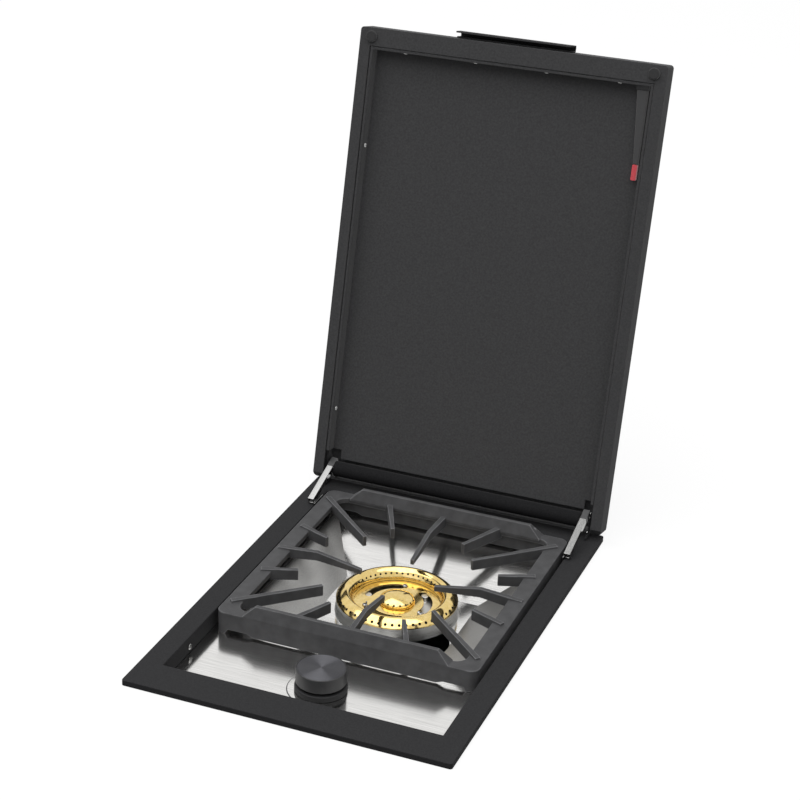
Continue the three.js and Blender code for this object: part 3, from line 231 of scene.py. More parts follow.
def castIron():
    # sand cast iron under matt black enamel: small pits, slight waves, and a painted highlight on
    # the raised edges
    material, tree, shader, place = newMaterial("enamelledCastIron", {"IOR": 1.5,
                                                "Specular IOR Level": 0.15})
    sand = grain(tree, place, 0.9, 4)
    wave = grain(tree, place, 14, 2)
    # the colour lightens along sharp edges: a painted highlight
    edge = addNode(tree, "ShaderNodeNewGeometry").outputs["Pointiness"]
    edgeHighlight = addNode(tree, "ShaderNodeMapRange", {"From Min": 0.51, "From Max": 0.57, "To Min": 0,
                   "To Max": 0.9}, {"Value": edge}).outputs["Result"]
    tone = addNode(tree, "ShaderNodeMath", {"operation": "ADD", "use_clamp": True},
                   {0: between(tree, wave, 0, 0.12), 1: edgeHighlight}).outputs[0]
    shade(tree, shader, tone, "#3d3d3e", "#78787a")
    rough(tree, shader, sand, 0.48, 0.62)
    dent(tree, shader, sand, 0.25, 0.1)
    return material


def brightSteel():
    # polished stainless stays and screw heads: near white mirror with a few fine drag marks
    material, tree, shader, place = newMaterial("polishedStainless", {"Metallic": 1})
    drag = grain(tree, place, 0.4, 2, (1, 12, 12))
    shade(tree, shader, drag, "#8c8c8b", "#aaaaa9")
    rough(tree, shader, drag, 0.12, 0.22)
    dent(tree, shader, drag, 0.04, 0.02)
    return material


def zincSteel():
    # galvanised sheet: dull blue grey with crystals of about 6 mm
    material, tree, shader, place = newMaterial("galvanisedSteel", {"Metallic": 1})
    crystalWide = 6.25
    crystal = addNode(tree, "ShaderNodeTexVoronoi", {"Scale": 1 / (crystalWide * mm)},
                      {"Vector": place}).outputs["Distance"]
    shade(tree, shader, crystal, "#8f9396", "#b0b4b6")
    rough(tree, shader, crystal, 0.38, 0.55)
    return material


def mouldedPlastic(name, dark, light, low, high):
    # injection moulded ABS: even colour, spark-eroded grain of a few tenths of a mm
    material, tree, shader, place = newMaterial(name, {"IOR": 1.53})
    fine = grain(tree, place, 0.5, 2)
    shade(tree, shader, grain(tree, place, 5, 2), dark, light)
    rough(tree, shader, fine, low, high)
    dent(tree, shader, fine, 0.12, 0.04)
    return material


def spunDisc(centre):
    # black anodised aluminium, faced on a lathe: rings round the middle fan the light into wedges
    material, tree, shader, place = newMaterial("spunAluminiumBlack", {"Metallic": 1,
                                                "Anisotropic": 0.97, "Anisotropic Rotation": 0.25})
    centred = addNode(tree, "ShaderNodeVectorMath", {"operation": "SUBTRACT", 1: centre},
                      {0: place}).outputs["Vector"]
    apart = addNode(tree, "ShaderNodeSeparateXYZ", {}, {0: centred})
    flat = addNode(tree, "ShaderNodeCombineXYZ", {},
                   {0: apart.outputs[0], 1: apart.outputs[1]}).outputs["Vector"]
    radius = addNode(tree, "ShaderNodeVectorMath", {"operation": "LENGTH"}, {0: flat})
    line = addNode(tree, "ShaderNodeCombineXYZ", {}, {0: radius.outputs["Value"]})
    rings = grain(tree, line.outputs["Vector"], 0.45, 2)  # tool marks of 0.1 mm, drawn wider
    shade(tree, shader, rings, "#414144", "#646468")
    rough(tree, shader, rings, 0.42, 0.5)
    dent(tree, shader, rings, 0.1, 0.02)
    around = addNode(tree, "ShaderNodeVectorMath", {"operation": "CROSS_PRODUCT", 0: (0, 0, 1)},
                     {1: flat}).outputs["Vector"]
    tree.links.new(around, shader.inputs["Tangent"])
    return material


def rubber():
    # moulded nitrile rubber: dead black with a chalky bloom
    material, tree, shader, place = newMaterial("nitrileRubber", {"IOR": 1.52,
                                                "Specular IOR Level": 0.35})
    bloom = grain(tree, place, 2.5, 4)
    shade(tree, shader, between(tree, bloom, 0, 1), "#1b1b1c", "#242425")
    rough(tree, shader, bloom, 0.6, 0.8)
    dent(tree, shader, grain(tree, place, 0.6, 2), 0.1, 0.05)
    return material


def ceramic():
    # glazed steatite: warm white, glassy, with faint firing specks
    material, tree, shader, place = newMaterial("glazedSteatite", {"IOR": 1.55})
    speck = grain(tree, place, 1.2, 3)
    shade(tree, shader, between(tree, speck, 0, 1), "#ddd9cf", "#efece4")
    rough(tree, shader, speck, 0.12, 0.22)
    return material


burnerPlace = (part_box("centre_cap")[0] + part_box("centre_cap")[1]) / 2
knobPlace = (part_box("knob_disc")[0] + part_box("knob_disc")[1]) / 2

coat = powderCoat("powderCoatBlack", "#2b2b2c", "#333334", 0.015)
tubeCoat = powderCoat("powderCoatTube", "#1a1a1b", "#222223", 0.015)
litMattCoat = litLidCoat()
panSteel = brushedSteel()
brass = polishedBrass()
cupMetal = turnedAluminium()
iron = castIron()
bright = brightSteel()
zinc = zincSteel()
blackPlastic = mouldedPlastic("satinBlackAbs", "#2a2a2b", "#323233", 0.4, 0.5)
darkPlastic = mouldedPlastic("mattBlackNylon", "#202021", "#272728", 0.55, 0.65)
printInk = mouldedPlastic("screenPrintInk", "#4e4e4f", "#58585a", 0.55, 0.65)
redPlastic = mouldedPlastic("redAbs", "#b8323c", "#c9444e", 0.4, 0.5)
discMetal = spunDisc(tuple(knobPlace))
blackRubber = rubber()
# near black lining for the drilled ports and the sheet beside the wand: painted shade
shadeBlack = mouldedPlastic("paintedShadeBlack", "#0c0b0a", "#161412", 0.8, 0.9)
whiteCeramic = ceramic()
print("materials made")


# shaping

weld = {"apart": 0.002, "bend": 0.7}  # points this near are one, faces this level are one


def weldedCopy(nodeName):
    # the node's own solid, with its flat faces made whole again
    mesh = bmesh.new()
    mesh.from_mesh(nodes[nodeName].data)
    bmesh.ops.remove_doubles(mesh, verts=mesh.verts, dist=weld["apart"] * mm)
    bmesh.ops.dissolve_limit(mesh, angle_limit=math.radians(weld["bend"]), verts=mesh.verts,
                             edges=mesh.edges)
    bmesh.ops.recalc_face_normals(mesh, faces=mesh.faces)
    return mesh


def softenEdges(mesh, width, above=30, longer=0, steps=2):
    edges = [e for e in mesh.edges if len(e.link_faces) == 2
             and e.calc_face_angle(0) > math.radians(above) and e.calc_length() > longer * mm]
    bmesh.ops.bevel(mesh, geom=edges, offset=width * mm, offset_type="OFFSET", segments=steps,
                    profile=0.5, affect="EDGES", clamp_overlap=True, loop_slide=True)


def spun(profile, sides, centre=(0, 0, 0)):
    # turns a line of (radius, height) points in mm about the upright through centre
    mesh = bmesh.new()
    middle = Vector(centre)
    rings = []
    for radius, height in profile:
        count = sides if radius > 0 else 1
        rings.append([mesh.verts.new(middle + mm * Vector((
            radius * math.cos(2 * math.pi * i / sides), radius * math.sin(2 * math.pi * i / sides),
            height))) for i in range(count)])
    for low, high in zip(rings, rings[1:]):
        for i in range(sides):
            j = (i + 1) % sides
            corners = [low[i % len(low)], low[j % len(low)],
                       high[j % len(high)], high[i % len(high)]]
            face = [v for k, v in enumerate(corners) if v not in corners[:k]]
            if len(face) > 2:
                mesh.faces.new(face)
    bmesh.ops.recalc_face_normals(mesh, faces=mesh.faces)
    return mesh


def smoothLine(points, steps):
    # a round line through the points, as a turner's template would give
    line = []
    last = len(points) - 1
    for i in range(last):
        a, b, c, d = (Vector(points[min(max(k, 0), last)]) for k in (i - 1, i, i + 1, i + 2))
        for k in range(steps):
            t = k / steps
            line.append(tuple(0.5 * (2 * b + (c - a) * t + (2 * a - 5 * b + 4 * c - d) * t ** 2
                                     + (3 * b - a - 3 * c + d) * t ** 3)))
    return line + [tuple(points[-1])]


def rod(radius, length, start, direction):
    mesh = spun([(0, 0), (radius, 0), (radius, length), (0, length)], 12)
    turn = Vector((0, 0, 1)).rotation_difference(Vector(direction)).to_matrix().to_4x4()
    mesh.transform(Matrix.Translation(start) @ turn)
    return mesh


def together(meshes):
    whole = bmesh.new()
    for part in meshes:
        data = bpy.data.meshes.new("part")
        part.to_mesh(data)
        part.free()
        whole.from_mesh(data)
        bpy.data.meshes.remove(data)
    return whole


def meshObject(name, mesh, material):
    data = bpy.data.meshes.new(name)
    mesh.to_mesh(data)
    mesh.free()
    data.materials.append(material)
    piece = bpy.data.objects.new(name, data)
    scene.collection.objects.link(piece)
    return piece


def applied(piece):
    # keeps what the piece's modifiers make, and drops the modifiers
    bpy.context.view_layer.update()
    made = bpy.data.meshes.new_from_object(
        piece.evaluated_get(bpy.context.evaluated_depsgraph_get()))
    piece.modifiers.clear()
    piece.data = made


def drilled(piece, drills, lining=None):
    tool = meshObject("drill", drills, lining or piece.data.materials[0])
    cut = piece.modifiers.new("drill", "BOOLEAN")
    cut.operation = "DIFFERENCE"
    cut.material_mode = "TRANSFER"
    cut.object = tool
    cut.use_self = True
    applied(piece)
    bpy.data.objects.remove(tool)


def finished(piece, body, stands=(), sharp=35):
    piece.data.shade_smooth()
    piece.data.set_sharp_from_angle(angle=math.radians(sharp))
    even = piece.modifiers.new("evenShading", "WEIGHTED_NORMAL")
    even.keep_sharp = True
    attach(piece, body)
    if stands:
        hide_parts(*stands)
    return piece


def rounded(nodeName, body, material, width=0, above=30, longer=0, steps=2, sharp=35):
    # the node's solid with its edges rounded, above a bend in degrees and a length in mm
    mesh = weldedCopy(nodeName)
    if width:
        softenEdges(mesh, width, above, longer, steps)
    piece = meshObject(nodeName + "_look", mesh, material)
    return finished(piece, body, [nodeName], sharp=sharp)


# bezel

def rectangleLoop(mesh, x0, x1, y0, y1, z, radius, arc=5):
    # one closed line round a rectangle with rounded corners, in mm of the row frame
    points = []
    for cx, cy, turn in ((x1, y0, -90), (x1, y1, 0), (x0, y1, 90), (x0, y0, 180)):
        mx = cx - radius if cx == x1 else cx + radius
        my = cy - radius if cy == y1 else cy + radius
        for k in range(arc + 1):
            angle = math.radians(turn + 90 * k / arc)
            points.append((mx + radius * math.cos(angle), my + radius * math.sin(angle)))
    return [mesh.verts.new((x * mm, y * mm, z * mm)) for x, y in points]


def skin(mesh, loops, closed=False):
    pairs = list(zip(loops, loops[1:])) + ([(loops[-1], loops[0])] if closed else [])
    for a, b in pairs:
        for i in range(len(a)):
            j = (i + 1) % len(a)
            mesh.faces.new((a[i], a[j], b[j], b[i]))
    bmesh.ops.recalc_face_normals(mesh, faces=mesh.faces)


bezel = {"sheet": 2.0, "flange": 1.5, "flangeDrop": 20, "fold": 0.8, "foldSteps": 6,
         "innerFold": 1.2, "innerSteps": 5, "corner": 3.0, "innerCorner": 0.6, "leastCorner": 0.3,
         "footBurr": (0.3, 0.4), "flangeBurr": (0.3, 0.2), "slideGap": 0.5, "panSheet": 1.2}


def makeBezel():
    low, high = (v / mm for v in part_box("bezel_frame"))
    panLow, panHigh = (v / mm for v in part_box("burner_pan"))
    gap = bezel["slideGap"] + bezel["panSheet"]
    inner = [panLow.x + gap + bezel["flange"], panHigh.x - gap - bezel["flange"],
             panLow.y + gap + bezel["flange"], panHigh.y - gap - bezel["flange"]]
    top = high.z
    mesh = bmesh.new()

    def outside(inset, z):
        return rectangleLoop(mesh, low.x + inset, high.x - inset, low.y + inset, high.y - inset, z,
                             max(bezel["corner"] - inset, bezel["leastCorner"]))

    def inside(grow, z):
        return rectangleLoop(mesh, inner[0] - grow, inner[1] + grow, inner[2] - grow,
                             inner[3] + grow, z, max(bezel["innerCorner"] - grow, 0.1))

    burr, burrTall = bezel["footBurr"]
    loops = [outside(burr, 0), outside(0, burrTall)]
    fold, steps = bezel["fold"], bezel["foldSteps"]
    for k in range(steps + 1):
        angle = math.radians(90 * k / steps)
        loops.append(outside(fold - fold * math.cos(angle), top - fold + fold * math.sin(angle)))
    fold, steps = bezel["innerFold"], bezel["innerSteps"]
    for k in range(steps + 1):
        angle = math.radians(90 * k / steps)
        loops.append(inside(fold - fold * math.sin(angle), top - fold + fold * math.cos(angle)))
    bottom = top - bezel["flangeDrop"]
    burr, burrTall = bezel["flangeBurr"]
    loops += [inside(0, bottom + burrTall), inside(burr, bottom), inside(bezel["flange"], bottom),
              inside(bezel["flange"], top - bezel["sheet"]),
              outside(bezel["sheet"], top - bezel["sheet"]), outside(bezel["sheet"], 0)]
    skin(mesh, loops, True)
    finished(meshObject("bezel_fold", mesh, coat), "unit", ["bezel_frame"],
             sharp=40)


makeBezel()
print("bezel made")


# pan and cup

rounded("burner_pan", "unit", panSteel, width=0.9, above=8, longer=7, steps=3,
        sharp=25)
cup = {"skirtFrom": 66, "solid": 75.5, "seen": 71.6, "edge": 0.5}  # radii of the skirt


def makeCup():
    # the skirt is drawn in, so that it ends under the ring's edge
    mesh = weldedCopy("burner_cup")
    softenEdges(mesh, cup["edge"], above=40, longer=2)
    ease = (cup["seen"] - cup["skirtFrom"]) / (cup["solid"] - cup["skirtFrom"])
    for vertex in mesh.verts:
        flat = Vector((vertex.co.x - burnerPlace.x, vertex.co.y - burnerPlace.y, 0))
        beyond = flat.length / mm - cup["skirtFrom"]
        if beyond > 0:
            vertex.co -= flat.normalized() * beyond * (1 - ease) * mm
    finished(meshObject("burner_cup_look", mesh, cupMetal), "unit", ["burner_cup"])


makeCup()
print("pan and cup made")


# screws with a cross recess, one head mesh for each size

screws = {"wall": (3.5, 1.9), "plate": (3.1, 1.7), "lid": (2.3, 1.1),  # radius and height in mm
          "dome": ((1, 0.35), (0.86, 0.72), (0.5, 0.95)),  # its line, as shares of the two
          "slot": (1.1, 0.26), "sides": 24}  # the recess's length and width, shares of the radius


def screwHead(name, size):
    radius, height = size
    dome = [(radius * wide, height * tall) for wide, tall in screws["dome"]]
    piece = meshObject(name, spun([(0, 0), (radius, 0)] + dome + [(0, height)], screws["sides"]),
                       bright)
    slotLong, slotWide = (radius * share * mm for share in screws["slot"])
    bars = []
    for turn in (0, 90):
        bar = bmesh.new()
        bmesh.ops.create_cube(bar, size=1)
        bar.transform(Matrix.Rotation(math.radians(turn), 4, "Z")
                      @ Matrix.Diagonal((slotLong, slotWide, height * mm, 1)))
        bar.transform(Matrix.Translation((0, 0, height * mm)))
        bars.append(bar)
    drilled(piece, together(bars))
    data = piece.data
    bpy.data.objects.remove(piece)
    return data


def placeScrew(name, data, place, axis, body, stands=(), spin=20):
    piece = bpy.data.objects.new(name, data)
    scene.collection.objects.link(piece)
    turn = Vector((0, 0, 1)).rotation_difference(Vector(axis)).to_matrix().to_4x4()
    twist = Matrix.Rotation(math.radians(spin), 4, "Z")
    piece.matrix_world = Matrix.Translation(place) @ turn @ twist
    data.shade_smooth()
    data.set_sharp_from_angle(angle=math.radians(30))
    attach(piece, body)
    if stands:
        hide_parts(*stands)


wallHead = screwHead("panHeadScrew", screws["wall"])
plateHead = screwHead("smallPanHeadScrew", screws["plate"])
lidHead = screwHead("lidScrew", screws["lid"])

for side, word in ((-1, "left"), (1, "right")):
    low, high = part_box("wall_screw_" + word)
    place = (low + high) / 2
    place.x = low.x if side < 0 else high.x
    placeScrew("wallScrew_" + word, wallHead, place, (-side, 0, 0), "unit",
               ["wall_screw_" + word])

plate = {"turn": 45, "edge": 0.3}  # it sits on the cup at any angle, and here as in the photo


def turnedPlate(place):
    middle = Vector((burnerPlace.x, burnerPlace.y, place.z))
    return middle + Matrix.Rotation(math.radians(plate["turn"]), 3, "Z") @ (place - middle)


for i in (1, 2, 3):
    low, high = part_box(f"plate_screw_{i}")
    place = turnedPlate((low + high) / 2)
    place.z = low.z
    placeScrew(f"plateScrew_{i}", plateHead, place, (0, 0, 1), "unit",
               [f"plate_screw_{i}"], spin=25 * i)
print("screws made")


# burner: ring, plate and cap

# the ring's section is a funnel of points (radius, depth below the crest): the crown from the
# inner foot over the crest to the lip, then the hollow back. Ports are blind drillings: how many,
# where from the axis, how far below the crest or up the cap as a share of its rise, how tilted
# from upright, how deep and of what radius
ring = {"sides": 144,
        "crown": ((49.6, 13), (49.7, 10.4), (51.0, 7.0), (53.4, 3.0), (57.0, 0.3), (61.0, 0.6),
                  (65.7, 3.2), (69.0, 6.6), (70.3, 8.2)), "crownSteps": 6, "lip": 9.4,
        "hollow": ((67.9, 9.4), (65.2, 7.2), (60.4, 4.4), (57, 4.0), (55.2, 5.6), (52.8, 9.4),
                   (51.8, 13)), "hollowSteps": 3,
        "outer": {"count": 54, "from": 67.3, "down": 5.4, "tilt": 50, "deep": 4.4, "radius": 1.75},
        "inner": {"count": 50, "from": 52.2, "down": 5.2, "tilt": -58, "deep": 4.4,
                  "radius": 1.3, "shift": 0.5}}
cap = {"sides": 96, "foot": 14.6, "lift": 2.1, "rim": 21, "edge": 0.4, "lean": 0.2, "leanTo": 0.2,
       "dome": 20.4, "domeFrom": 0.25, "domeStep": 9,
       "ports": {"count": 17, "from": 19.1, "up": 0.46, "tilt": 52, "deep": 5, "radius": 1.25,
                 "shift": 0.25}}
burnerAxis = Vector((burnerPlace.x, burnerPlace.y, 0))


def portDrills(ports, height):
    tilt = math.radians(ports["tilt"])
    drills = []
    for i in range(ports["count"]):
        angle = 2 * math.pi * (i + ports.get("shift", 0)) / ports["count"]
        out = Vector((math.cos(angle), math.sin(angle), 0))
        line = out * math.sin(tilt) + Vector((0, 0, math.cos(tilt)))
        middle = burnerAxis + mm * (out * ports["from"] + Vector((0, 0, height)))
        start = middle - line * ports["deep"] * mm / 2
        drills.append(rod(ports["radius"], ports["deep"], start, line))
    return together(drills)


def makeRing():
    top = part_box("flame_ring")[1].z / mm
    crown, hollow = (smoothLine([(radius, top - down) for radius, down in ring[part]],
                                ring[part + "Steps"]) for part in ("crown", "hollow"))
    profile = crown + [(crown[-1][0], top - ring["lip"])] + hollow + [crown[0]]
    mesh = spun(profile, ring["sides"], burnerAxis)
    bmesh.ops.remove_doubles(mesh, verts=mesh.verts, dist=weld["apart"] * mm)
    piece = meshObject("flame_ring_turned", mesh, brass)
    drilled(piece, together([portDrills(row, top - row["down"])
                             for row in (ring["outer"], ring["inner"])]), shadeBlack)
    finished(piece, "unit", ["flame_ring"], sharp=40)


def makeCap():
    low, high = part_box("centre_cap")
    bottom, edge, share = low.z / mm, cap["edge"], cap["domeFrom"]
    base = bottom + cap["lift"]
    rise = high.z / mm - bottom - edge
    dome = []
    for turn in range(0, 90, cap["domeStep"]):
        angle = math.radians(turn)
        dome.append((cap["dome"] * math.cos(angle),
                     base + rise * (share + (1 - share) * math.sin(angle))))
    profile = [(0, bottom), (cap["foot"], bottom), (cap["foot"], base), (cap["rim"] - edge, base),
               (cap["rim"], base + edge),
               (cap["rim"] - cap["lean"], base + rise * cap["leanTo"])] + dome
    profile.append((0, base + rise))
    piece = meshObject("centre_cap_turned", spun(profile, cap["sides"], burnerAxis), brass)
    drilled(piece, portDrills(cap["ports"], base + rise * cap["ports"]["up"]), shadeBlack)
    finished(piece, "unit", ["centre_cap"], sharp=40)


def makePlate():
    mesh = weldedCopy("burner_plate")
    softenEdges(mesh, plate["edge"], above=40, longer=0.3)
    for vertex in mesh.verts:
        vertex.co = turnedPlate(vertex.co)
    finished(meshObject("burner_plate_look", mesh, brass), "unit", ["burner_plate"])


makeRing()
makeCap()
makePlate()
rounded("igniter_ceramic", "unit", whiteCeramic, width=0.3, above=40)
rounded("igniter_electrode", "unit", bright, width=0.2, above=40)
rounded("flame_sensor", "unit", bright, width=0.2, above=40)
print("burner made")


# pan support, rounded as a casting is

casting = {"voxel": 0.6, "smoothing": 1, "ease": 0.5, "kept": 0.3, "sharp": 38}


def makeSupport():
    piece = meshObject("pan_support_cast", weldedCopy("pan_support"), iron)
    skinOver = piece.modifiers.new("skin", "REMESH")
    skinOver.mode = "VOXEL"
    skinOver.voxel_size = casting["voxel"] * mm
    ease = piece.modifiers.new("ease", "SMOOTH")
    ease.factor = casting["ease"]
    ease.iterations = casting["smoothing"]
    thin = piece.modifiers.new("thin", "DECIMATE")
    thin.ratio = casting["kept"]
    applied(piece)
    piece.data.materials.clear()
    piece.data.materials.append(iron)
    finished(piece, "support", ["pan_support"], sharp=casting["sharp"])


makeSupport()
print("pan support made")


# knob

# an edge's points are (in from the side, up from the foot or down from the top)
knob = {"hollow": 24.5, "lift": 0.2, "socket": 8, "web": 1, "discGap": 0.3, "sides": 96,
        "footEdge": ((0.5, 0), (0, 0.6)), "topEdge": ((0, 1.2), (0.25, 0.5), (0.8, 0), (1.0, 0.1)),
        "discEdge": ((0, 0.7), (0.25, 0.45), (1.7, 0.02), (2.0, 0)), "travel": 3}


def makeKnob():
    low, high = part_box("knob_body")
    discLow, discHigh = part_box("knob_disc")
    centre = Vector((knobPlace.x, knobPlace.y, 0))
    side, rim = (high.x - low.x) / 2 / mm, (discHigh.x - discLow.x) / 2 / mm
    foot, top, seat, face = (corner.z / mm for corner in (low, high, discLow, discHigh))
    edge = [(side - inward, foot + up) for inward, up in knob["footEdge"]]
    edge += [(side - inward, top - down) for inward, down in knob["topEdge"]]
    start = (knob["hollow"], foot + knob["lift"])
    floor, web = seat - knob["discGap"], foot + knob["web"]
    body = spun([start] + edge + [(edge[-1][0], floor), (knob["socket"], floor),
                (knob["socket"], web), (knob["hollow"], web), start], knob["sides"], centre)
    finished(meshObject("knob_body_moulded", body, blackPlastic), "knob",
             ["knob_body"], sharp=40)
    edge = [(rim - inward, face - down) for inward, down in knob["discEdge"]]
    disc = spun([(0, seat), (rim, seat)] + edge + [(knob["socket"], face), (0, face)],
                knob["sides"], centre)
    finished(meshObject("knob_disc_spun", disc, discMetal), "knob", ["knob_disc"],
             sharp=15)


# where the wedge runs in degrees, how thick its ends are, and the small ring's place and line
dial = {"radius": 36.5, "from": 148, "to": 232, "steps": 24, "thin": 0.35, "thick": 1.7,
        "offAt": 136, "off": 1.9, "offLine": 0.45, "seat": 0.3, "lift": 0.04}


def makeDial():
    # a printed wedge beside the knob that widens with the flame, and a small ring for off
    panelTop = (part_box("knob_ring")[0].z / mm) - dial["seat"] + dial["lift"]
    centre = Vector((knobPlace.x, knobPlace.y, 0)) / mm
    mesh = bmesh.new()

    def point(radius, angle, middle=centre):
        turn = math.radians(angle)
        return mesh.verts.new((Vector((middle.x + radius * math.cos(turn),
                                       middle.y + radius * math.sin(turn), panelTop))) * mm)

    rows = []
    for i in range(dial["steps"] + 1):
        share = i / dial["steps"]
        angle = dial["from"] + (dial["to"] - dial["from"]) * share
        half = (dial["thin"] + (dial["thick"] - dial["thin"]) * share) / 2
        rows.append((point(dial["radius"] - half, angle), point(dial["radius"] + half, angle)))
    for a, b in zip(rows, rows[1:]):
        mesh.faces.new((a[0], a[1], b[1], b[0]))
    turn = math.radians(dial["offAt"])
    middle = centre + dial["radius"] * Vector((math.cos(turn), math.sin(turn), 0))
    turns = [360 * i / dial["steps"] for i in range(dial["steps"])]
    rows = [(point(dial["off"], angle, middle), point(dial["off"] + dial["offLine"], angle, middle))
            for angle in turns]
    for a, b in zip(rows, rows[1:] + rows[:1]):
        mesh.faces.new((a[0], a[1], b[1], b[0]))
    bmesh.ops.recalc_face_normals(mesh, faces=mesh.faces)
    finished(meshObject("dial_print", mesh, printInk), "unit")


def makeSpring():
    # the spring stands on the valve, and gets a mesh of its own
    piece = finished(meshObject("valve_spring_look", weldedCopy("valve_spring"), bright), "unit",
                     ["valve_spring"])
    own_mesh(piece)


makeSpring()
makeKnob()
makeDial()
rounded("knob_ring", "unit", blackRubber, width=0.4, above=40, longer=1)
print("knob made")


# lid

stayHead = {"long": 15.5, "skin": 0.35, "slope": 16.35, "tail": 3.6, "tall": 7.2, "wide": 7.5,
            "edge": 0.6}


def makeStayHead(word):
    # a black sleeve over the stay's upper end, where it turns on the lid
    low, high = (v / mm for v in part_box("stay_arm_" + word))
    grow, tail, slope = stayHead["skin"], stayHead["tail"], math.radians(stayHead["slope"])
    half = stayHead["tall"] / 2 + grow
    length = stayHead["long"] + grow
    mesh = bmesh.new()
    bmesh.ops.create_cube(mesh, size=1)
    mesh.transform(Matrix.Diagonal((stayHead["wide"] + 2 * grow, length, 2 * half, 1)))
    mesh.transform(Matrix.Translation((0, tail + grow - length / 2, 0)))
    mesh.transform(Matrix.Rotation(slope, 4, "X"))
    # from the arm's highest and rearmost corner to the stud that it turns on
    reach = tail * math.cos(slope) + (half - grow) * math.sin(slope)
    rise = tail * math.sin(slope) + (half - grow) * math.cos(slope)
    mesh.transform(Matrix.Translation(((low.x + high.x) / 2, high.y - reach, high.z - rise)))
    mesh.transform(Matrix.Diagonal((mm, mm, mm, 1)))
    softenEdges(mesh, stayHead["edge"], above=40)
    finished(meshObject("stay_head_" + word, mesh, blackPlastic), "stay_" + word)


shellLook = rounded("lid_shell", "lid", litMattCoat, width=0.5, above=50, longer=3,
                    sharp=12)
linerLook = rounded("lid_liner", "lid", litMattCoat, width=0.6, above=50, longer=3,
                    sharp=12)
for piece in (shellLook, linerLook):
    piece.visible_glossy = False  # the photo's steel and brass show the white room, not the lid
rounded("lid_tube", "lid", tubeCoat, sharp=40)
rounded("lid_handle", "lid", coat, width=0.4, above=50, longer=1, sharp=40)
for word in ("left", "right"):
    rounded("lid_bumper_" + word, "lid", blackRubber, width=0.6, above=40,
            longer=0.8)
    rounded("tube_plug_" + word, "lid", tubeCoat, width=0.3, above=50)
    rounded("hinge_leaf_" + word, "lid", coat, width=0.25, above=50, longer=0.8)
    rounded("hinge_bracket_" + word, "unit", coat, width=0.25, above=50, longer=0.8)
    rounded("hinge_pin_" + word, "unit", bright, width=0.3, above=50)
    rounded("stay_guide_" + word, "unit", bright, width=0.2, above=50, longer=0.8)
    rounded("stay_arm_" + word, "stay_" + word, bright, width=0.35, above=50,
            longer=2)
    makeStayHead(word)
rounded("lighting_wand", "wand", darkPlastic, width=0.4, above=40, longer=1)
rounded("wand_tip", "wand", redPlastic, width=0.5, above=50, longer=1)
rounded("wand_holder", "lid", blackRubber, width=0.5, above=50, longer=1)


# how far the lid stands open in degrees, and places on it in mm
lidMarks = {"open": 102.6, "wall": 167.9, "topWall": 507.2, "screwDeep": 8.2,
            "sideScrews": (394, 70), "topScrews": (-130, -43, 43, 130)}
hingeAxis = (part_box("hinge_pin_left")[0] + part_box("hinge_pin_left")[1]) / 2


def inLid(x, forward, deep):
    # a place on the open lid in mm: sideways, forward from the hinge axis with the lid shut, and
    # below that axis
    turn = Matrix.Rotation(math.radians(-lidMarks["open"]), 3, "X")
    return Vector((0, hingeAxis.y, hingeAxis.z)) + turn @ Vector((x, -forward, -deep)) * mm


def placeLidScrews():
    deep = lidMarks["screwDeep"]
    down = (inLid(0, 0, 0) - inLid(0, 1, 0)).normalized()
    for forward in lidMarks["sideScrews"]:
        for side in (-1, 1):
            place = inLid(side * lidMarks["wall"], forward, deep)
            placeScrew(f"lidScrew_{forward}_{side}", lidHead, place, (-side, 0, 0), "lid")
    for x in lidMarks["topScrews"]:
        placeScrew(f"lidScrew_{x}", lidHead, inLid(x, lidMarks["topWall"], deep), down, "lid")


wandShade = {"end": 4.2, "beside": 3.4, "under": 1.0, "over": 0.3, "floor": 1.3, "edge": 0.5}


def makeWandShade():
    # a near black sheet beside the wand and a black block on its top end: painted shadow where the
    # wand sits in the recess
    back = Matrix.Rotation(math.radians(lidMarks["open"]), 3, "X")
    axis = Vector((0, hingeAxis.y, hingeAxis.z))
    points = [back @ (v.co - axis) / mm for v in nodes["lighting_wand"].data.vertices]
    butt = min(v.y for v in points)
    tip = max(v.y for v in points)
    wide = [v.x for v in points if v.y < butt + 1]
    narrow = [v.x for v in points if v.y > tip - 1]
    deeps = [v.z for v in points if v.y < butt + 1]
    under, beside, top = wandShade["under"], wandShade["beside"], lidMarks["topWall"]
    shadeSheet = bmesh.new()
    corners = [(max(wide) - under, top), (max(wide) + beside, top), (max(narrow) + beside, -tip),
               (max(narrow) - under, -tip)]
    shadeSheet.faces.new([shadeSheet.verts.new(inLid(x, forward, wandShade["floor"]))
                      for x, forward in corners])
    finished(meshObject("wand_painted_shade", shadeSheet, shadeBlack), "lid")
    # the black block on the wand's top end is painted shadow
    end = bmesh.new()
    bmesh.ops.create_cube(end, size=1)
    # proud of the wand on the seen sides alone, so that it slides clear of the holder
    grow = wandShade["over"]
    middle = (min(wide) / 2 + max(wide) / 2, -butt - wandShade["end"] / 2 + grow,
              grow - (min(deeps) + max(deeps)) / 2)
    end.transform(Matrix.Diagonal(((max(wide) - min(wide) + 2 * grow) * mm,
                                   (wandShade["end"] + 2 * grow) * mm,
                                   (max(deeps) - min(deeps)) * mm, 1)))
    end.transform(Matrix.Translation(inLid(*middle))
                  @ Matrix.Rotation(math.radians(-lidMarks["open"]), 4, "X"))
    softenEdges(end, wandShade["edge"], above=40)
    finished(meshObject("wand_shade_end", end, blackRubber), "wand")


placeLidScrews()
makeWandShade()
print("lid made")


# everything else keeps its solid and gets its finish

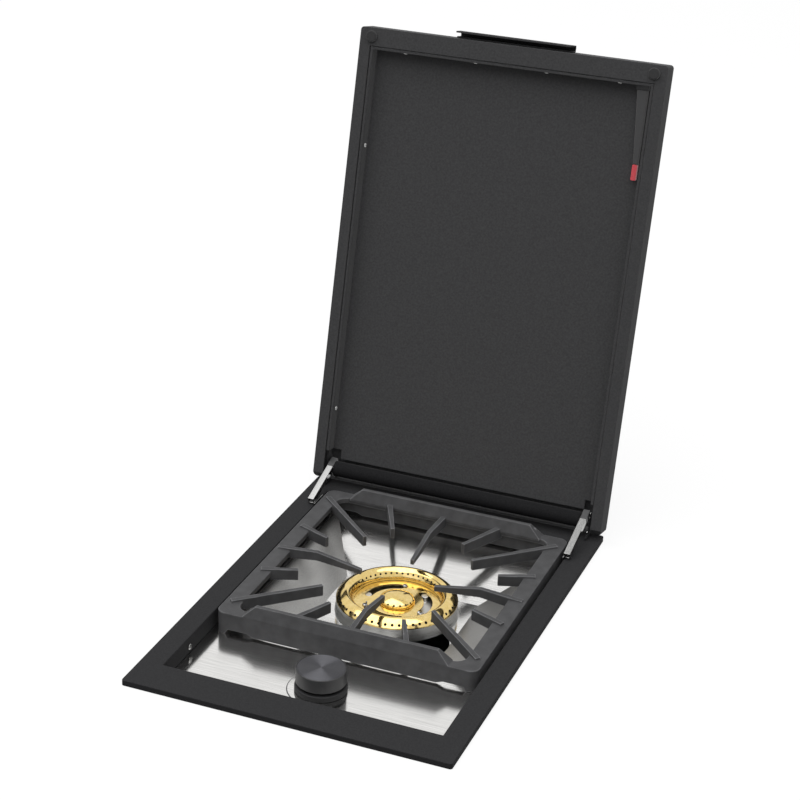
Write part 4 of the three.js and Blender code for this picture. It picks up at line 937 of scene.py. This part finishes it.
plainFinishes = {
    "bench_seal": blackRubber, "gas_valve": brass, "jet_holder": brass, "gas_inlet": brass,
    "feed_pipe": cupMetal, "outlet_pipe": cupMetal, "spark_box": blackPlastic,
    "ignition_lead": blackRubber, "valve_collar": brass, "valve_stem": bright,
    "lower_box": zinc, "mixer_tube": zinc,
}
for end in ("front", "back"):
    for word in ("left", "right"):
        plainFinishes[f"clamp_bracket_{end}_{word}"] = zinc
        plainFinishes[f"clamp_bolt_{end}_{word}"] = zinc
for name, material in plainFinishes.items():
    nodes[name].data.materials[0] = material
print("plain finishes given")


# bench top and lamps

def seenRays(tree):
    # 1 for what the camera sees straight, in metal or through glass
    rays = addNode(tree, "ShaderNodeLightPath").outputs
    direct = addNode(tree, "ShaderNodeMath", {"operation": "MAXIMUM"},
                     {0: rays["Is Camera Ray"], 1: rays["Is Glossy Ray"]}).outputs[0]
    return addNode(tree, "ShaderNodeMath", {"operation": "MAXIMUM"},
                   {0: direct, 1: rays["Is Transmission Ray"]}).outputs[0]


# a white bench with a cut-out: its gap round the box and its half width in mm, how much of it
# glows, and its paint as other surfaces see it and as the eye and the metal do
bench = {"gap": 2, "half": 6000, "glow": 0.85, "bounced": "#404040", "seen": "#f6f6f6"}


def makeBench():
    low, high = (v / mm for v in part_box("lower_box"))
    gap, half = bench["gap"], bench["half"]
    mesh = bmesh.new()
    hole = rectangleLoop(mesh, low.x - gap, high.x + gap, low.y - gap, high.y + gap, 0, gap)
    edge = rectangleLoop(mesh, -half, half, -half, half, 0, gap)
    skin(mesh, [hole, edge])
    material = bpy.data.materials.new("benchWhite")
    material.use_nodes = True
    tree = material.node_tree
    tree.nodes.clear()
    seen = seenRays(tree)
    share = addNode(tree, "ShaderNodeMath", {"operation": "MULTIPLY", 1: bench["glow"]},
                    {0: seen}).outputs[0]
    paint = addNode(tree, "ShaderNodeMix", {"data_type": "RGBA", 6: linear(bench["bounced"]),
                    7: linear(bench["seen"])}, {0: seen}).outputs[2]
    lit = addNode(tree, "ShaderNodeBsdfDiffuse", {}, {"Color": paint})
    glow = addNode(tree, "ShaderNodeEmission", {"Color": (1, 1, 1, 1), "Strength": 1})
    mixed = addNode(tree, "ShaderNodeMixShader", {},
                    {0: share, 1: lit.outputs[0], 2: glow.outputs[0]})
    out = addNode(tree, "ShaderNodeOutputMaterial")
    tree.links.new(mixed.outputs[0], out.inputs["Surface"])
    meshObject("bench_top", mesh, material)


# the room's white grows from horizon to sky along lean; the boxes' sizes and places are in metres
light = {
    "horizon": 0.1, "sky": 0.8, "lean": (0.0, -0.2, 0.98), "from": -0.25, "to": 0.85,
    "boxes": {
        "topSoftbox": {"size": (6.4, 5.2), "energy": 190, "place": (-0.5, -0.6, 4.0),
                       "aim": (0, 0.3, 0)},
        "frontSoftbox": {"size": (2.2, 1.4), "energy": 2.5, "place": (-0.7, -2.4, 0.9),
                         "aim": (0, 0.5, 0.2)},
    },
}


def makeSoftbox(name, box):
    lamp = bpy.data.lights.new(name, "AREA")
    lamp.shape = "RECTANGLE"
    lamp.size, lamp.size_y = box["size"]
    lamp.energy = box["energy"]
    piece = bpy.data.objects.new(name, lamp)
    aim = (Vector(box["aim"]) - Vector(box["place"])).normalized()
    turn = aim.to_track_quat("-Z", "Y").to_matrix().to_4x4()
    piece.matrix_world = Matrix.Translation(box["place"]) @ turn
    scene.collection.objects.link(piece)


def makeLight():
    world = bpy.data.worlds.new("studio")
    scene.world = world
    world.use_nodes = True
    tree = world.node_tree
    tree.nodes.clear()
    direction = addNode(tree, "ShaderNodeTexCoord").outputs["Generated"]
    height = addNode(tree, "ShaderNodeVectorMath", {"operation": "DOT_PRODUCT", 1: light["lean"]},
                     {0: direction}).outputs["Value"]
    level = addNode(tree, "ShaderNodeMapRange", {"interpolation_type": "SMOOTHSTEP",
                    "From Min": light["from"], "From Max": light["to"],
                    "To Min": light["horizon"], "To Max": light["sky"]},
                    {"Value": height}).outputs["Result"]
    room = addNode(tree, "ShaderNodeBackground", {"Color": (1, 1, 1, 1)}, {"Strength": level})
    white = addNode(tree, "ShaderNodeBackground", {"Color": (1, 1, 1, 1), "Strength": 1})
    mixed = addNode(tree, "ShaderNodeMixShader", {}, {0: seenRays(tree), 1: room.outputs[0],
                    2: white.outputs[0]})
    out = addNode(tree, "ShaderNodeOutputWorld")
    tree.links.new(mixed.outputs[0], out.inputs["Surface"])
    for name, box in light["boxes"].items():
        makeSoftbox(name, box)


makeBench()
makeLight()
scene.view_settings.view_transform = "Standard"
print("bench and light set")
